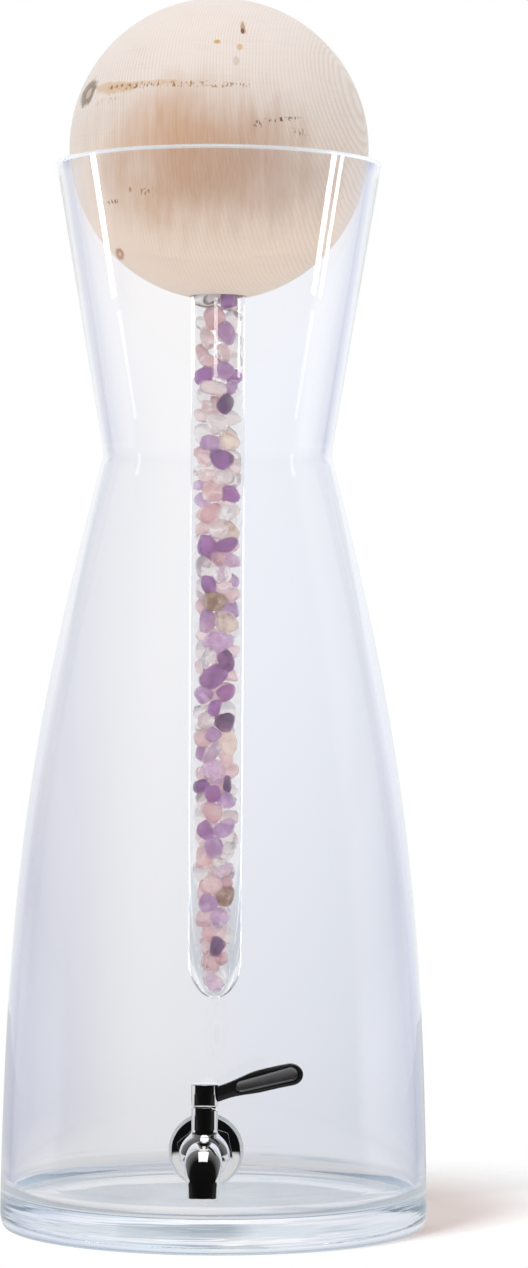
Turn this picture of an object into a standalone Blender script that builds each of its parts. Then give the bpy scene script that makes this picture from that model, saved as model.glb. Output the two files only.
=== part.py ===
"""Glass water dispenser: carafe with a lever tap, a wooden ball stopper and a hanging vial of stones.

Metres, +Z up. The origin is the middle of the flat underside of the glass and the tap faces -Y.
"""

import math

import bmesh
import bpy
import numpy as np
from mathutils import Matrix, Vector

MM = 0.001

# Clearance between pieces that seat on, in or around each other
SEAT_GAP = 0.3 * MM
HOLE_GAP = 0.7 * MM

# Glass carafe
GLASS_HEIGHT = 497.3 * MM
BASE_RADIUS = 99.8 * MM
FOOT_EDGE = 7.5 * MM
FOOT_INSET = 2.6 * MM
FLOOR_THICKNESS = 15.0 * MM
FLOOR_FILLET = 6.5 * MM
WAIST_RADIUS = 53.8 * MM
WAIST_HEIGHT = 361.0 * MM
WAIST_BEND = 22.0 * MM
RIM_RADIUS = 76.2 * MM
BODY_WALL = 4.5 * MM
RIM_WALL = 5.9 * MM
LIP_RISE = 1.6 * MM
LIP_FULLNESS = 3.0
SHOULDER_ANGLE = 14.8
FOOT_DRAFT = 1.1
FOOT_PULL = 124.0 * MM
SHOULDER_PULL = 148.0 * MM

# Wooden ball
BALL_RADIUS = 70.0 * MM
BALL_FLAT_RADIUS = 14.4 * MM

# Vial hanging from the ball
VIAL_LENGTH = 361.0 * MM
VIAL_MOUTH_RADIUS = 12.6 * MM
VIAL_TIP_RADIUS = 12.5 * MM
VIAL_TIP_LENGTH = 17.9 * MM
VIAL_MOUTH_BORE = 11.9 * MM
VIAL_CUP_BORE = 11.0 * MM
VIAL_CUP_LENGTH = 102.0 * MM
VIAL_CUP_FULLNESS = 2.8
VIAL_TIP_WALL = 3.0 * MM
VIAL_SEAT_DEPTH = 32.0 * MM
PLUG_DEPTH = 12.0 * MM
PLUG_HEAD = 3.0 * MM
SEAL_TUBE = 1.3 * MM
SEAL_DEPTH = 12.0 * MM

# Stones in the vial, in layers of joined chips
STONE_LAYERS = 27
STONE_GAP = 0.35 * MM
STONE_CORNERS = 11
STONE_CORE_CORNERS = 7
STONE_SWING = 0.16
STONE_SEED = 11

# Tap on the front of the glass
TAP_HEIGHT = 47.0 * MM
SHANK_RADIUS = 7.75 * MM
INLET_RADIUS = 4.2 * MM
SHANK_TAIL = 2.0 * MM
OUTER_SEAL_RADIUS = 16.6 * MM
OUTER_SEAL_THICKNESS = 2.0 * MM
ROSETTE_RADIUS = 15.4 * MM
ROSETTE_THICKNESS = 2.5 * MM
ROSETTE_EDGE = 1.1 * MM
ROSETTE_FACE = 9.4 * MM
NUT_FLATS = 23.0 * MM
NUT_THICKNESS = 5.0 * MM
NUT_TURN = 41.0
INNER_SEAL_RADIUS = 13.0 * MM
INNER_SEAL_THICKNESS = 3.0 * MM
FLAT_WASHER_RADIUS = 12.6 * MM
FLAT_WASHER_THICKNESS = 1.4 * MM
LOCK_NUT_FLATS = 22.0 * MM
LOCK_NUT_THICKNESS = 6.5 * MM
LOCK_NUT_TURN = 4.0

# Tap body
COLLAR_RADIUS = 9.6 * MM
COLLAR_WIDTH = 1.6 * MM
VALVE_OFFSET = 9.6 * MM
HOUSING_RADIUS = 11.3 * MM
BARREL_RADIUS = 5.8 * MM
BARREL_RISE = 21.6 * MM
BARREL_FOOT = 7.0 * MM
BARREL_EASE = 2.8 * MM
SPOUT_STRAIGHT = 4.5 * MM
SPOUT_BEND = 12.0 * MM
SPOUT_LEAN = 8.0
SPOUT_ROOT_RADIUS = 7.6 * MM
SPOUT_ELBOW_RADIUS = 8.5 * MM
SPOUT_END_RADIUS = 6.95 * MM
SPOUT_END_DROP = 16.8 * MM
SPOUT_WALL = 1.6 * MM
NOTCH_DEPTH = 1.4 * MM
NOTCH_SPAN = 116.0

# Valve inside the tap
VALVE_BORE = 4.7 * MM
VALVE_POCKET = 7.6 * MM
PORT_RADIUS = 2.6 * MM
PLUG_RISE = 13.8 * MM
STEM_RADIUS = 2.4 * MM
STEM_REACH = 6.6 * MM
RING_TUBE = 0.6 * MM
RING_RISE = 5.6 * MM
GLAND_HEIGHT = 4.2 * MM

# Lever
HUB_RADIUS = 6.0 * MM
HUB_HEIGHT = 9.8 * MM
HUB_EDGE = 0.9 * MM
LUG_SPAN = 22.0
LEVER_SWEEP = 90.0
LEVER_RISE = 14.5
ARM_RADIUS = 1.3 * MM
ARM_START = 3.3 * MM
ARM_END = 24.0 * MM
GRIP_LENGTH = 44.3 * MM
GRIP_NECK_HEIGHT = 6.6 * MM
GRIP_HEIGHT = 9.8 * MM
GRIP_NECK_DEPTH = 5.6 * MM
GRIP_DEPTH = 7.0 * MM
GRIP_NECK_END = 9.5 * MM
GRIP_SHOULDER = 26.0 * MM
GRIP_TIP = 5.6 * MM
GRIP_BOW = 1.0 * MM
RECESS_MIDDLE = 28.2 * MM
RECESS_LENGTH = 28.4 * MM
RECESS_NECK_HEIGHT = 5.4 * MM
RECESS_TIP_HEIGHT = 6.6 * MM
RECESS_DEPTH = 1.3 * MM
INLAY_THICKNESS = 0.5 * MM
SCREW_RADIUS = 1.2 * MM
SCREW_LENGTH = 2.4 * MM

# Numbers of facets
GLASS_STEPS = 40
BALL_STEPS = 32
ROUND_STEPS = 24
SMALL_STEPS = 20
MERGE = 0.001 * MM


def clear_scene():
    """Remove every object that a new scene starts with."""
    for item in list(bpy.data.objects):
        bpy.data.objects.remove(item, do_unlink=True)


def keep(name, bm):
    """Turn a bmesh into an object with outward faces."""
    bmesh.ops.remove_doubles(bm, verts=bm.verts[:], dist=MERGE)
    bmesh.ops.recalc_face_normals(bm, faces=bm.faces[:])
    mesh = bpy.data.meshes.new(name)
    bm.to_mesh(mesh)
    bm.free()
    piece = bpy.data.objects.new(name, mesh)
    bpy.context.scene.collection.objects.link(piece)
    return piece


def turned(name, profile, steps, place=None):
    """Spin (radius, height) points about Z: an open line that ends on the axis, or a closed loop."""
    bm = bmesh.new()
    corners = [bm.verts.new((float(radius), 0.0, float(height))) for radius, height in profile]
    edges = [bm.edges.new(pair) for pair in zip(corners, corners[1:])]
    if profile[0][0] > MERGE:
        edges.append(bm.edges.new((corners[-1], corners[0])))
    bmesh.ops.spin(
        bm,
        geom=corners + edges,
        cent=(0.0, 0.0, 0.0),
        axis=(0.0, 0.0, 1.0),
        angle=2.0 * math.pi,
        steps=steps,
        use_merge=True,
        use_duplicate=False,
    )
    if place is not None:
        bmesh.ops.transform(bm, matrix=place, verts=bm.verts[:])
    return keep(name, bm)


def lofted(name, rings):
    """Join rings of the same number of points into a tube and cap both ends."""
    bm = bmesh.new()
    loops = [[bm.verts.new(point) for point in ring] for ring in rings]
    for lower, upper in zip(loops, loops[1:]):
        count = len(lower)
        for step in range(count):
            ahead = (step + 1) % count
            bm.faces.new((lower[step], lower[ahead], upper[ahead], upper[step]))
    bm.faces.new(list(reversed(loops[0])))
    bm.faces.new(loops[-1])
    return keep(name, bm)


def rod(name, radius, start, end, steps, place):
    """Plain round bar along local Z."""
    return turned(name, [(0.0, start), (radius, start), (radius, end), (0.0, end)], steps, place)


def sector(name, inner, outer, low, high, middle, span, steps, place):
    """Part of a ring about local Z, spread evenly round the angle in the middle."""
    angles = np.radians(middle + span * np.linspace(-0.5, 0.5, steps + 1))
    rings = []
    for angle in angles:
        reach = Vector((math.cos(angle), math.sin(angle), 0.0))
        corners = [(inner, low), (outer, low), (outer, high), (inner, high)]
        rings.append([place @ (reach * radius + Vector((0.0, 0.0, height))) for radius, height in corners])
    return lofted(name, rings)


def combine(target, tool, operation):
    """Join, cut or clip the target with a tool piece, which is used up."""
    change = target.modifiers.new("change", "BOOLEAN")
    change.operation = operation
    change.solver = "EXACT"
    change.object = tool
    graph = bpy.context.evaluated_depsgraph_get()
    graph.update()
    mesh = bpy.data.meshes.new_from_object(target.evaluated_get(graph))
    target.modifiers.clear()
    target.data = mesh
    bpy.data.objects.remove(tool, do_unlink=True)


def settle(piece, colour, roughness, metallic=0.0, pivot=None, sharp=32.0):
    """Give a piece its finish and shading, and put its origin on the pivot that it moves about."""
    finish = bpy.data.materials.new(piece.name)
    finish.use_nodes = True
    shader = finish.node_tree.nodes["Principled BSDF"]
    shader.inputs["Base Color"].default_value = (*colour, 1.0)
    shader.inputs["Roughness"].default_value = roughness
    shader.inputs["Metallic"].default_value = metallic
    finish.diffuse_color = (*colour, 1.0)
    piece.data.materials.clear()
    piece.data.materials.append(finish)
    piece.data.shade_smooth()
    piece.data.set_sharp_from_angle(angle=math.radians(sharp))
    if pivot is not None:
        piece.data.transform(Matrix.Translation(-pivot))
        piece.location = pivot


# Glass carafe


def flare_angle():
    """Angle of the neck line that runs from the rim and just touches the bend at the waist."""
    out = RIM_RADIUS - WAIST_RADIUS - WAIST_BEND
    rise = GLASS_HEIGHT - WAIST_HEIGHT
    return math.atan2(out, rise) + math.asin(WAIST_BEND / math.hypot(out, rise))


def lip_reach(flare):
    """Height of the top of the lip above the place where the outside line ends."""
    tilt = 0.5 * RIM_WALL * math.sin(flare)
    power = LIP_FULLNESS / (LIP_FULLNESS - 1.0)
    return tilt + (tilt**power + (LIP_RISE * math.cos(flare)) ** power) ** (1.0 / power)


def outer_side(flank_steps=10, bend_steps=4):
    """Points up the outside of the glass from the foot to the lip: flank curve, waist bend, neck line."""
    flare = flare_angle()
    shoulder = math.radians(SHOULDER_ANGLE)
    draft = math.radians(FOOT_DRAFT)
    foot = np.array([BASE_RADIUS, FOOT_EDGE])
    top = np.array(
        [
            WAIST_RADIUS + WAIST_BEND * (1.0 - math.cos(shoulder)),
            WAIST_HEIGHT - WAIST_BEND * math.sin(shoulder),
        ]
    )
    lower = foot + FOOT_PULL * np.array([-math.sin(draft), math.cos(draft)])
    upper = top + SHOULDER_PULL * np.array([math.sin(shoulder), -math.cos(shoulder)])
    share = np.linspace(0.0, 1.0, flank_steps)[:, None]
    rest = 1.0 - share
    flank = rest**3 * foot + 3.0 * rest**2 * share * lower + 3.0 * rest * share**2 * upper + share**3 * top
    bend = np.linspace(-shoulder, flare, bend_steps)
    waist = np.stack(
        [WAIST_RADIUS + WAIST_BEND * (1.0 - np.cos(bend)), WAIST_HEIGHT + WAIST_BEND * np.sin(bend)], axis=1
    )
    lip_height = GLASS_HEIGHT - lip_reach(flare)
    lip = np.array([[RIM_RADIUS - (GLASS_HEIGHT - lip_height) * math.tan(flare), lip_height]])
    return np.vstack([flank[:-1], waist, lip])


def inner_side(outside):
    """Points of the inside: the outside moved in along its normal by the wall, which grows up the neck."""
    along = np.gradient(outside, axis=0)
    along /= np.linalg.norm(along, axis=1)[:, None]
    flare = flare_angle()
    along[-1] = (math.sin(flare), math.cos(flare))
    inward = np.stack([-along[:, 1], along[:, 0]], axis=1)
    wall = np.interp(outside[:, 1], [WAIST_HEIGHT, outside[-1, 1]], [BODY_WALL, RIM_WALL])
    return outside + inward * wall[:, None]


def glass_outline():
    """Closed half section of the carafe, from the middle of the underside to the middle of the floor."""
    outside = outer_side()
    inside = inner_side(outside)
    quarter = np.linspace(0.0, 0.5 * math.pi, 4)
    edge = np.stack(
        [
            BASE_RADIUS - FOOT_INSET * (1.0 - np.sin(quarter)),
            FOOT_EDGE * (1.0 - np.cos(quarter)),
        ],
        axis=1,
    )
    middle = 0.5 * (outside[-1] + inside[-1])
    across = outside[-1] - middle
    upward = np.array([-across[1], across[0]]) * LIP_RISE / np.linalg.norm(across)
    half = np.linspace(0.0, math.pi, 7)[1:-1, None]
    level = np.sign(np.cos(half)) * np.abs(np.cos(half)) ** (2.0 / LIP_FULLNESS)
    lip = middle + across * level + upward * np.sin(half) ** (2.0 / LIP_FULLNESS)
    corner_height = FLOOR_THICKNESS + FLOOR_FILLET
    corner_radius = float(np.interp(corner_height, inside[:, 1], inside[:, 0]))
    down = inside[inside[:, 1] > corner_height + MM][::-1]
    fillet = np.stack(
        [
            corner_radius - FLOOR_FILLET * (1.0 - np.cos(quarter)),
            corner_height - FLOOR_FILLET * np.sin(quarter),
        ],
        axis=1,
    )
    start = np.array([[0.0, 0.0]])
    floor = np.array([[0.0, FLOOR_THICKNESS]])
    return np.vstack([start, edge, outside[1:], lip, down, fillet, floor])


def side_radius(side, height):
    """Radius of one side of the glass at a height below the waist."""
    return float(np.interp(height, side[:, 1], side[:, 0]))


def build_carafe():
    """Glass vessel with the round hole for the tap."""
    carafe = turned("glass_carafe", glass_outline(), GLASS_STEPS)
    wall = side_radius(outer_side(), TAP_HEIGHT)
    reach = SHANK_RADIUS + HOLE_GAP
    hole = rod("hole", reach, wall - 4.0 * BODY_WALL, wall + 4.0 * BODY_WALL, ROUND_STEPS, tap_frame())
    combine(carafe, hole, "DIFFERENCE")
    settle(carafe, (0.86, 0.92, 0.95), 0.05, 0.0, None, 28.0)


# Ball stopper with the vial


def ball_height():
    """Height of the ball's middle when it has sunk into the neck as far as the clearance lets it."""
    inside = inner_side(outer_side())
    share = np.linspace(0.0, 1.0, 200)[:, None]
    neck = inside[-2] * (1.0 - share) + inside[-1] * share
    reach = BALL_RADIUS + SEAT_GAP
    near = neck[neck[:, 0] < reach]
    return float(np.max(near[:, 1] + np.sqrt(reach**2 - near[:, 0] ** 2)))


def ball_flat():
    """Height of the small flat under the ball."""
    return ball_height() - math.sqrt(BALL_RADIUS**2 - BALL_FLAT_RADIUS**2)


def vial_mouth():
    """Height of the open end of the vial, inside the ball."""
    return ball_flat() + VIAL_SEAT_DEPTH


def vial_tip():
    """Height of the round closed end of the vial."""
    return vial_mouth() - VIAL_LENGTH


def vial_bore(height):
    """Inside radius of the vial at a height: a long tapering cup at the tip, then a slight taper to the mouth."""
    low = vial_tip() + VIAL_TIP_WALL + VIAL_CUP_LENGTH
    if height >= low:
        return float(np.interp(height, [low, ball_flat()], [VIAL_CUP_BORE, VIAL_MOUTH_BORE]))
    share = min((low - height) / VIAL_CUP_LENGTH, 1.0)
    return VIAL_CUP_BORE * (1.0 - share**VIAL_CUP_FULLNESS) ** (1.0 / VIAL_CUP_FULLNESS)


def build_ball():
    """Wooden ball with a flat, a blind bore for the vial and a groove for its seal ring."""
    middle = ball_height()
    flat = ball_flat()
    bore = VIAL_MOUTH_RADIUS + SEAT_GAP
    roof = vial_mouth() + PLUG_HEAD + 2.0 * SEAT_GAP
    groove = flat + SEAL_DEPTH
    floor = bore + 2.0 * SEAL_TUBE + SEAT_GAP
    half = SEAL_TUBE + SEAT_GAP
    turn = np.linspace(0.0, math.pi - math.asin(BALL_FLAT_RADIUS / BALL_RADIUS), 16)
    shell = np.stack([BALL_RADIUS * np.sin(turn), middle + BALL_RADIUS * np.cos(turn)], axis=1)
    hollow = [
        (bore, flat),
        (bore, groove - half),
        (floor, groove - half),
        (floor, groove + half),
        (bore, groove + half),
        (bore, roof),
        (0.0, roof),
    ]
    ball = turned("wood_ball", [(float(r), float(z)) for r, z in shell] + hollow, BALL_STEPS)
    settle(ball, (0.85, 0.72, 0.6), 0.55, 0.0, Vector((0.0, 0.0, middle)), 32.0)


def build_vial():
    """Round-bottomed glass tube, the plug in its mouth and the ring that holds it in the ball."""
    pivot = Vector((0.0, 0.0, ball_height()))
    mouth = vial_mouth()
    tip = vial_tip()
    flat = ball_flat()
    quarter = np.linspace(0.0, 0.5 * math.pi, 6)
    low = tip + VIAL_TIP_LENGTH
    dome = [(VIAL_TIP_RADIUS * math.sin(a), low - VIAL_TIP_LENGTH * math.cos(a)) for a in quarter]
    bottom = tip + VIAL_TIP_WALL
    rises = [share * VIAL_CUP_LENGTH for share in (1.0, 0.7, 0.45, 0.28, 0.15, 0.07, 0.02)]
    cup = [(vial_bore(bottom + rise), bottom + rise) for rise in rises] + [(0.0, bottom)]
    outline = dome + [
        (VIAL_MOUTH_RADIUS, flat),
        (VIAL_MOUTH_RADIUS, mouth),
        (VIAL_MOUTH_BORE, mouth),
        (VIAL_MOUTH_BORE, flat),
    ]
    vial = turned("gem_vial", outline + cup, ROUND_STEPS)
    settle(vial, (0.88, 0.93, 0.95), 0.04, 0.0, pivot)

    stopper = VIAL_MOUTH_BORE - SEAT_GAP
    head = VIAL_MOUTH_RADIUS
    seat = mouth + SEAT_GAP
    plug = turned(
        "vial_plug",
        [
            (0.0, mouth - PLUG_DEPTH),
            (stopper - MM, mouth - PLUG_DEPTH),
            (stopper, mouth - PLUG_DEPTH + MM),
            (stopper, seat),
            (head, seat),
            (head, seat + PLUG_HEAD),
            (0.0, seat + PLUG_HEAD),
        ],
        ROUND_STEPS,
    )
    settle(plug, (0.9, 0.9, 0.88), 0.6, 0.0, pivot)

    reach = VIAL_MOUTH_RADIUS + SEAT_GAP + SEAL_TUBE
    ring = turned("vial_seal_ring", ring_section(reach, flat + SEAL_DEPTH, SEAL_TUBE), ROUND_STEPS)
    settle(ring, (0.8, 0.8, 0.78), 0.6, 0.0, pivot, 60.0)


def ring_section(reach, height, tube):
    """Round section of a seal ring."""
    turn = np.linspace(0.0, 2.0 * math.pi, 8, endpoint=False)
    return [(reach + tube * math.cos(a), height + tube * math.sin(a)) for a in turn]


STONE_KINDS = {
    "amethyst": (0.25, 0.1, 0.42),
    "rose": (0.72, 0.42, 0.48),
    "crystal": (0.82, 0.85, 0.88),
    "smoky": (0.3, 0.2, 0.15),
}
STONE_ORDER = ("amethyst", "crystal", "rose", "amethyst", "rose", "crystal", "amethyst", "crystal", "smoky")


def chip(name, middle, size, count, rng):
    """Tumbled chip: the hull of evenly spread, slightly shaken points on a stretched ball."""
    step = np.arange(count)
    level = 1.0 - 2.0 * (step + 0.5) / count
    angle = step * math.pi * (3.0 - math.sqrt(5.0)) + rng.uniform(0.0, 6.28)
    flat = np.sqrt(1.0 - level**2)
    points = np.stack([flat * np.cos(angle), flat * np.sin(angle), level], axis=1)
    points *= rng.uniform(0.92, 1.0, (count, 1))
    bm = bmesh.new()
    for point in points:
        bm.verts.new(Vector(middle) + Vector([float(v) for v in point * size]))
    hull = bmesh.ops.convex_hull(bm, input=bm.verts[:])
    spare = [item for item in hull["geom_interior"] if isinstance(item, bmesh.types.BMVert)]
    bmesh.ops.delete(bm, geom=spare, context="VERTS")
    return keep(name, bm)


def build_stones():
    """Stack of stone layers that fills the vial from its round end to just below its plug."""
    pivot = Vector((0.0, 0.0, ball_height()))
    rng = np.random.default_rng(STONE_SEED)
    floor = vial_tip() + VIAL_TIP_WALL
    roof = vial_mouth() - PLUG_DEPTH - STONE_GAP
    first = 0.9 * VIAL_CUP_BORE
    base = floor + first + STONE_GAP
    pitch = (roof - base) / (STONE_LAYERS - 1 + 2.0 * STONE_SWING)
    for layer in range(STONE_LAYERS):
        name = "gem_layer_%02d" % (layer + 1)
        if layer == 0:
            room = 0.86 * vial_bore(floor + 0.45 * first)
            size = np.array([room, room, 0.5 * (first - 2.0 * STONE_GAP)])
            middle = (0.0, 0.0, floor + STONE_GAP + float(size[2]))
            stones = chip(name, middle, size, STONE_CORNERS, rng)
        else:
            level = base + pitch * (layer - 0.5 + STONE_SWING)
            room = vial_bore(level - 0.3 * pitch) - STONE_GAP
            ring = 0.46 * room
            tall = 0.5 * (pitch - STONE_GAP)
            core = np.array([0.42 * room, 0.42 * room, 0.6 * tall])
            stones = chip(name, (0.0, 0.0, level), core, STONE_CORE_CORNERS, rng)
            for quarter in range(4):
                angle = 0.5 * math.pi * quarter + 0.35
                lift = pitch * STONE_SWING * (1.0 if quarter % 2 else -1.0)
                middle = (ring * math.cos(angle), ring * math.sin(angle), level + lift)
                size = np.array([0.56 * room, 0.56 * room, tall]) * rng.uniform(0.94, 1.0, 3)
                combine(stones, chip("chip", middle, size, STONE_CORNERS, rng), "UNION")
        colour = STONE_KINDS[STONE_ORDER[layer % len(STONE_ORDER)]]
        settle(stones, colour, 0.2, 0.0, pivot, 15.0)


# Tap


def tap_frame():
    """Frame whose local Z runs forward along the tap and whose origin is on the glass axis."""
    return Matrix.Translation((0.0, 0.0, TAP_HEIGHT)) @ Matrix.Rotation(0.5 * math.pi, 4, "X")


def tap_stations():
    """Distances from the glass axis to the faces that follow each other along the tap."""
    outside = outer_side()
    inside = inner_side(outside)
    at = {}
    at["wall"] = side_radius(outside, TAP_HEIGHT)
    at["seal"] = at["wall"] + SEAT_GAP + OUTER_SEAL_THICKNESS
    at["rosette"] = at["seal"] + SEAT_GAP
    at["nut"] = at["rosette"] + ROSETTE_THICKNESS + SEAT_GAP
    at["body"] = at["nut"] + NUT_THICKNESS + SEAT_GAP
    at["valve"] = at["body"] + VALVE_OFFSET
    at["inner_wall"] = side_radius(inside, TAP_HEIGHT)
    at["inner_seal"] = at["inner_wall"] - SEAT_GAP - INNER_SEAL_THICKNESS
    at["washer"] = at["inner_seal"] - SEAT_GAP - FLAT_WASHER_THICKNESS
    at["lock_nut"] = at["washer"] - SEAT_GAP - LOCK_NUT_THICKNESS
    at["tail"] = at["lock_nut"] - SHANK_TAIL
    return at


def ring(name, inner, outer, low, high, edge, steps, place):
    """Flat ring about local Z with small chamfers on its outer edges."""
    outline = [
        (inner, low),
        (outer - edge, low),
        (outer, low + edge),
        (outer, high - edge),
        (outer - edge, high),
        (inner, high),
    ]
    return turned(name, outline, steps, place)


def hex_nut(name, flats, low, high, turn, place):
    """Hexagon nut: a six-sided bar clipped by a cone at its edges, with a clear hole for the shank."""
    corner = flats / math.sqrt(3.0)
    angles = [math.radians(60.0 * side + turn) for side in range(6)]
    rings = []
    for height in (low - MM, high + MM):
        rings.append([place @ Vector((corner * math.cos(a), corner * math.sin(a), height)) for a in angles])
    nut = lofted(name, rings)
    edge = 0.5 * (corner - 0.5 * flats)
    face = 0.5 * flats - 0.5 * edge
    wide = corner + edge
    bevel = min((wide - face) * math.tan(math.radians(30.0)), 0.45 * (high - low))
    outline = [(0.0, low), (face, low), (wide, low + bevel), (wide, high - bevel), (face, high), (0.0, high)]
    combine(nut, turned("cone", outline, 2 * SMALL_STEPS, place), "INTERSECT")
    hole = rod("hole", SHANK_RADIUS + SEAT_GAP, low - MM, high + MM, ROUND_STEPS, place)
    combine(nut, hole, "DIFFERENCE")
    return nut


def glass_form(side, shift):
    """Solid of the glass side near the tap, moved outward by a distance, used to shape the seals."""
    steps = np.linspace(FOOT_EDGE, TAP_HEIGHT + 3.0 * OUTER_SEAL_RADIUS, 12)
    line = [(side_radius(side, z) + shift, z) for z in steps]
    outline = [(0.0, line[0][1])] + line + [(0.0, line[-1][1])]
    return turned("form", outline, GLASS_STEPS)


def build_fixings():
    """Seals, rosette, nuts and washer that clamp the tap to the glass."""
    place = tap_frame()
    at = tap_stations()
    outside = outer_side()
    inside = inner_side(outside)
    hole = SHANK_RADIUS + SEAT_GAP

    deep = at["wall"] - 4.0 * MM
    seal = ring("outer_seal", hole, OUTER_SEAL_RADIUS, deep, at["seal"], 0.3 * MM, ROUND_STEPS, place)
    combine(seal, glass_form(outside, SEAT_GAP), "DIFFERENCE")
    settle(seal, (0.75, 0.76, 0.75), 0.55)

    front = at["rosette"] + ROSETTE_THICKNESS
    outline = [
        (hole, at["rosette"]),
        (ROSETTE_RADIUS, at["rosette"]),
        (ROSETTE_RADIUS, at["rosette"] + ROSETTE_EDGE),
        (ROSETTE_FACE, front),
        (hole, front),
    ]
    settle(turned("rosette", outline, ROUND_STEPS, place), (0.75, 0.75, 0.76), 0.12, 1.0)

    nut = hex_nut("hex_nut", NUT_FLATS, at["nut"], at["nut"] + NUT_THICKNESS, NUT_TURN, place)
    settle(nut, (0.75, 0.75, 0.76), 0.12, 1.0, None, 20.0)

    deep = at["inner_wall"] + 4.0 * MM
    seal = ring("inner_seal", hole, INNER_SEAL_RADIUS, at["inner_seal"], deep, 0.3 * MM, ROUND_STEPS, place)
    combine(seal, glass_form(inside, -SEAT_GAP), "INTERSECT")
    settle(seal, (0.75, 0.76, 0.75), 0.55)

    back = at["washer"] + FLAT_WASHER_THICKNESS
    flat = ring("flat_washer", hole, FLAT_WASHER_RADIUS, at["washer"], back, 0.2 * MM, ROUND_STEPS, place)
    settle(flat, (0.7, 0.7, 0.71), 0.25, 1.0)

    low = at["lock_nut"]
    lock = hex_nut("lock_nut", LOCK_NUT_FLATS, low, low + LOCK_NUT_THICKNESS, LOCK_NUT_TURN, place)
    settle(lock, (0.7, 0.7, 0.71), 0.25, 1.0, None, 20.0)


def spout_rings(start, widths, steps):
    """Round sections along the spout: forward from the valve, round the bend and down to a level outlet."""
    end = SPOUT_END_DROP
    bend = min(SPOUT_BEND, end)
    lean = math.radians(90.0 - SPOUT_LEAN)
    path = [(0.0, 0.0, 0.0), (0.6 * SPOUT_STRAIGHT, 0.0, 0.0)]
    for angle in np.linspace(0.0, lean, 7):
        ahead = SPOUT_STRAIGHT + bend * math.sin(angle)
        path.append((ahead, -bend * (1.0 - math.cos(angle)), float(angle)))
    ahead, up, angle = path[-1]
    path.append((ahead + (end + up) / math.tan(lean), -end, 0.5 * math.pi))
    widths = np.interp(range(len(path)), [0, 2, 5, 8, 9], widths)
    rings = []
    for (ahead, up, angle), width in zip(path, widths):
        middle = Vector((0.0, -(start + ahead), TAP_HEIGHT + up))
        across = Vector((0.0, -math.sin(angle), math.cos(angle)))
        ring_points = []
        for turn in np.linspace(0.0, 2.0 * math.pi, steps, endpoint=False):
            side = Vector((math.cos(turn), 0.0, 0.0))
            ring_points.append(middle + (side + across * math.sin(turn)) * float(width))
        rings.append(ring_points)
    return rings


def extend(rings, distance):
    """Lengthen a run of sections at its far end, so that a cutter passes the face it opens."""
    last = rings[-1]
    shift = Vector((0.0, 0.0, -distance))
    return rings + [[point + shift for point in last]]


def valve_frame():
    """Frame on the upright valve axis at the height of the tap."""
    return Matrix.Translation((0.0, -tap_stations()["valve"], TAP_HEIGHT))


def build_tap_body():
    """One-piece tap: threaded shank, rounded valve housing, upright barrel and bent spout."""
    place = tap_frame()
    upright = valve_frame()
    at = tap_stations()
    valve = at["valve"]
    outline = [
        (0.0, at["tail"]),
        (SHANK_RADIUS - 0.8 * MM, at["tail"]),
        (SHANK_RADIUS, at["tail"] + 0.8 * MM),
        (SHANK_RADIUS, at["body"]),
        (COLLAR_RADIUS, at["body"]),
        (COLLAR_RADIUS, at["body"] + COLLAR_WIDTH),
    ]
    reach = valve - at["body"] - COLLAR_WIDTH
    begin = -math.asin(min(reach / HOUSING_RADIUS, 0.95))
    for angle in np.linspace(begin, 0.5 * math.pi, 8):
        outline.append((HOUSING_RADIUS * math.cos(angle), valve + HOUSING_RADIUS * math.sin(angle)))
    outline[-1] = (0.0, valve + HOUSING_RADIUS)
    body = turned("tap_body", outline, ROUND_STEPS, place)

    top = BARREL_RISE
    meet = math.sqrt(max(HOUSING_RADIUS**2 - BARREL_FOOT**2, MM**2))
    barrel = [
        (0.0, 0.0),
        (BARREL_FOOT, 0.0),
        (BARREL_FOOT, meet + 0.1 * BARREL_EASE),
        (0.3 * BARREL_FOOT + 0.7 * BARREL_RADIUS, meet + 0.42 * BARREL_EASE),
        (BARREL_RADIUS, meet + BARREL_EASE),
        (BARREL_RADIUS, top - 0.4 * MM),
        (BARREL_RADIUS - 0.4 * MM, top),
        (0.0, top),
    ]
    combine(body, turned("barrel", barrel, ROUND_STEPS, upright), "UNION")
    slope = 0.35 * SPOUT_ELBOW_RADIUS + 0.65 * SPOUT_END_RADIUS
    widths = [SPOUT_ROOT_RADIUS, SPOUT_ROOT_RADIUS, SPOUT_ELBOW_RADIUS, slope, SPOUT_END_RADIUS]
    spout = lofted("spout", spout_rings(valve, widths, ROUND_STEPS))
    combine(body, spout, "UNION")

    well = rod("well", VALVE_BORE, -VALVE_POCKET, top + MM, SMALL_STEPS, upright)
    combine(body, well, "DIFFERENCE")
    inlet = rod("inlet", INLET_RADIUS, at["tail"] - MM, valve, SMALL_STEPS, place)
    combine(body, inlet, "DIFFERENCE")
    narrow = min(INLET_RADIUS, SPOUT_END_RADIUS - SPOUT_WALL)
    wide = SPOUT_END_RADIUS - SPOUT_WALL
    widths = [narrow, narrow, wide, wide, wide]
    channel = extend(spout_rings(valve, widths, SMALL_STEPS), 2.0 * MM)
    combine(body, lofted("channel", channel), "DIFFERENCE")
    notch = sector(
        "notch", 0.5 * VALVE_BORE, BARREL_RADIUS + MM, top - NOTCH_DEPTH, top + MM, 0.0, NOTCH_SPAN, 8, upright
    )
    combine(body, notch, "DIFFERENCE")
    settle(body, (0.76, 0.76, 0.77), 0.1, 1.0, None, 35.0)


# Valve and lever


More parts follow.
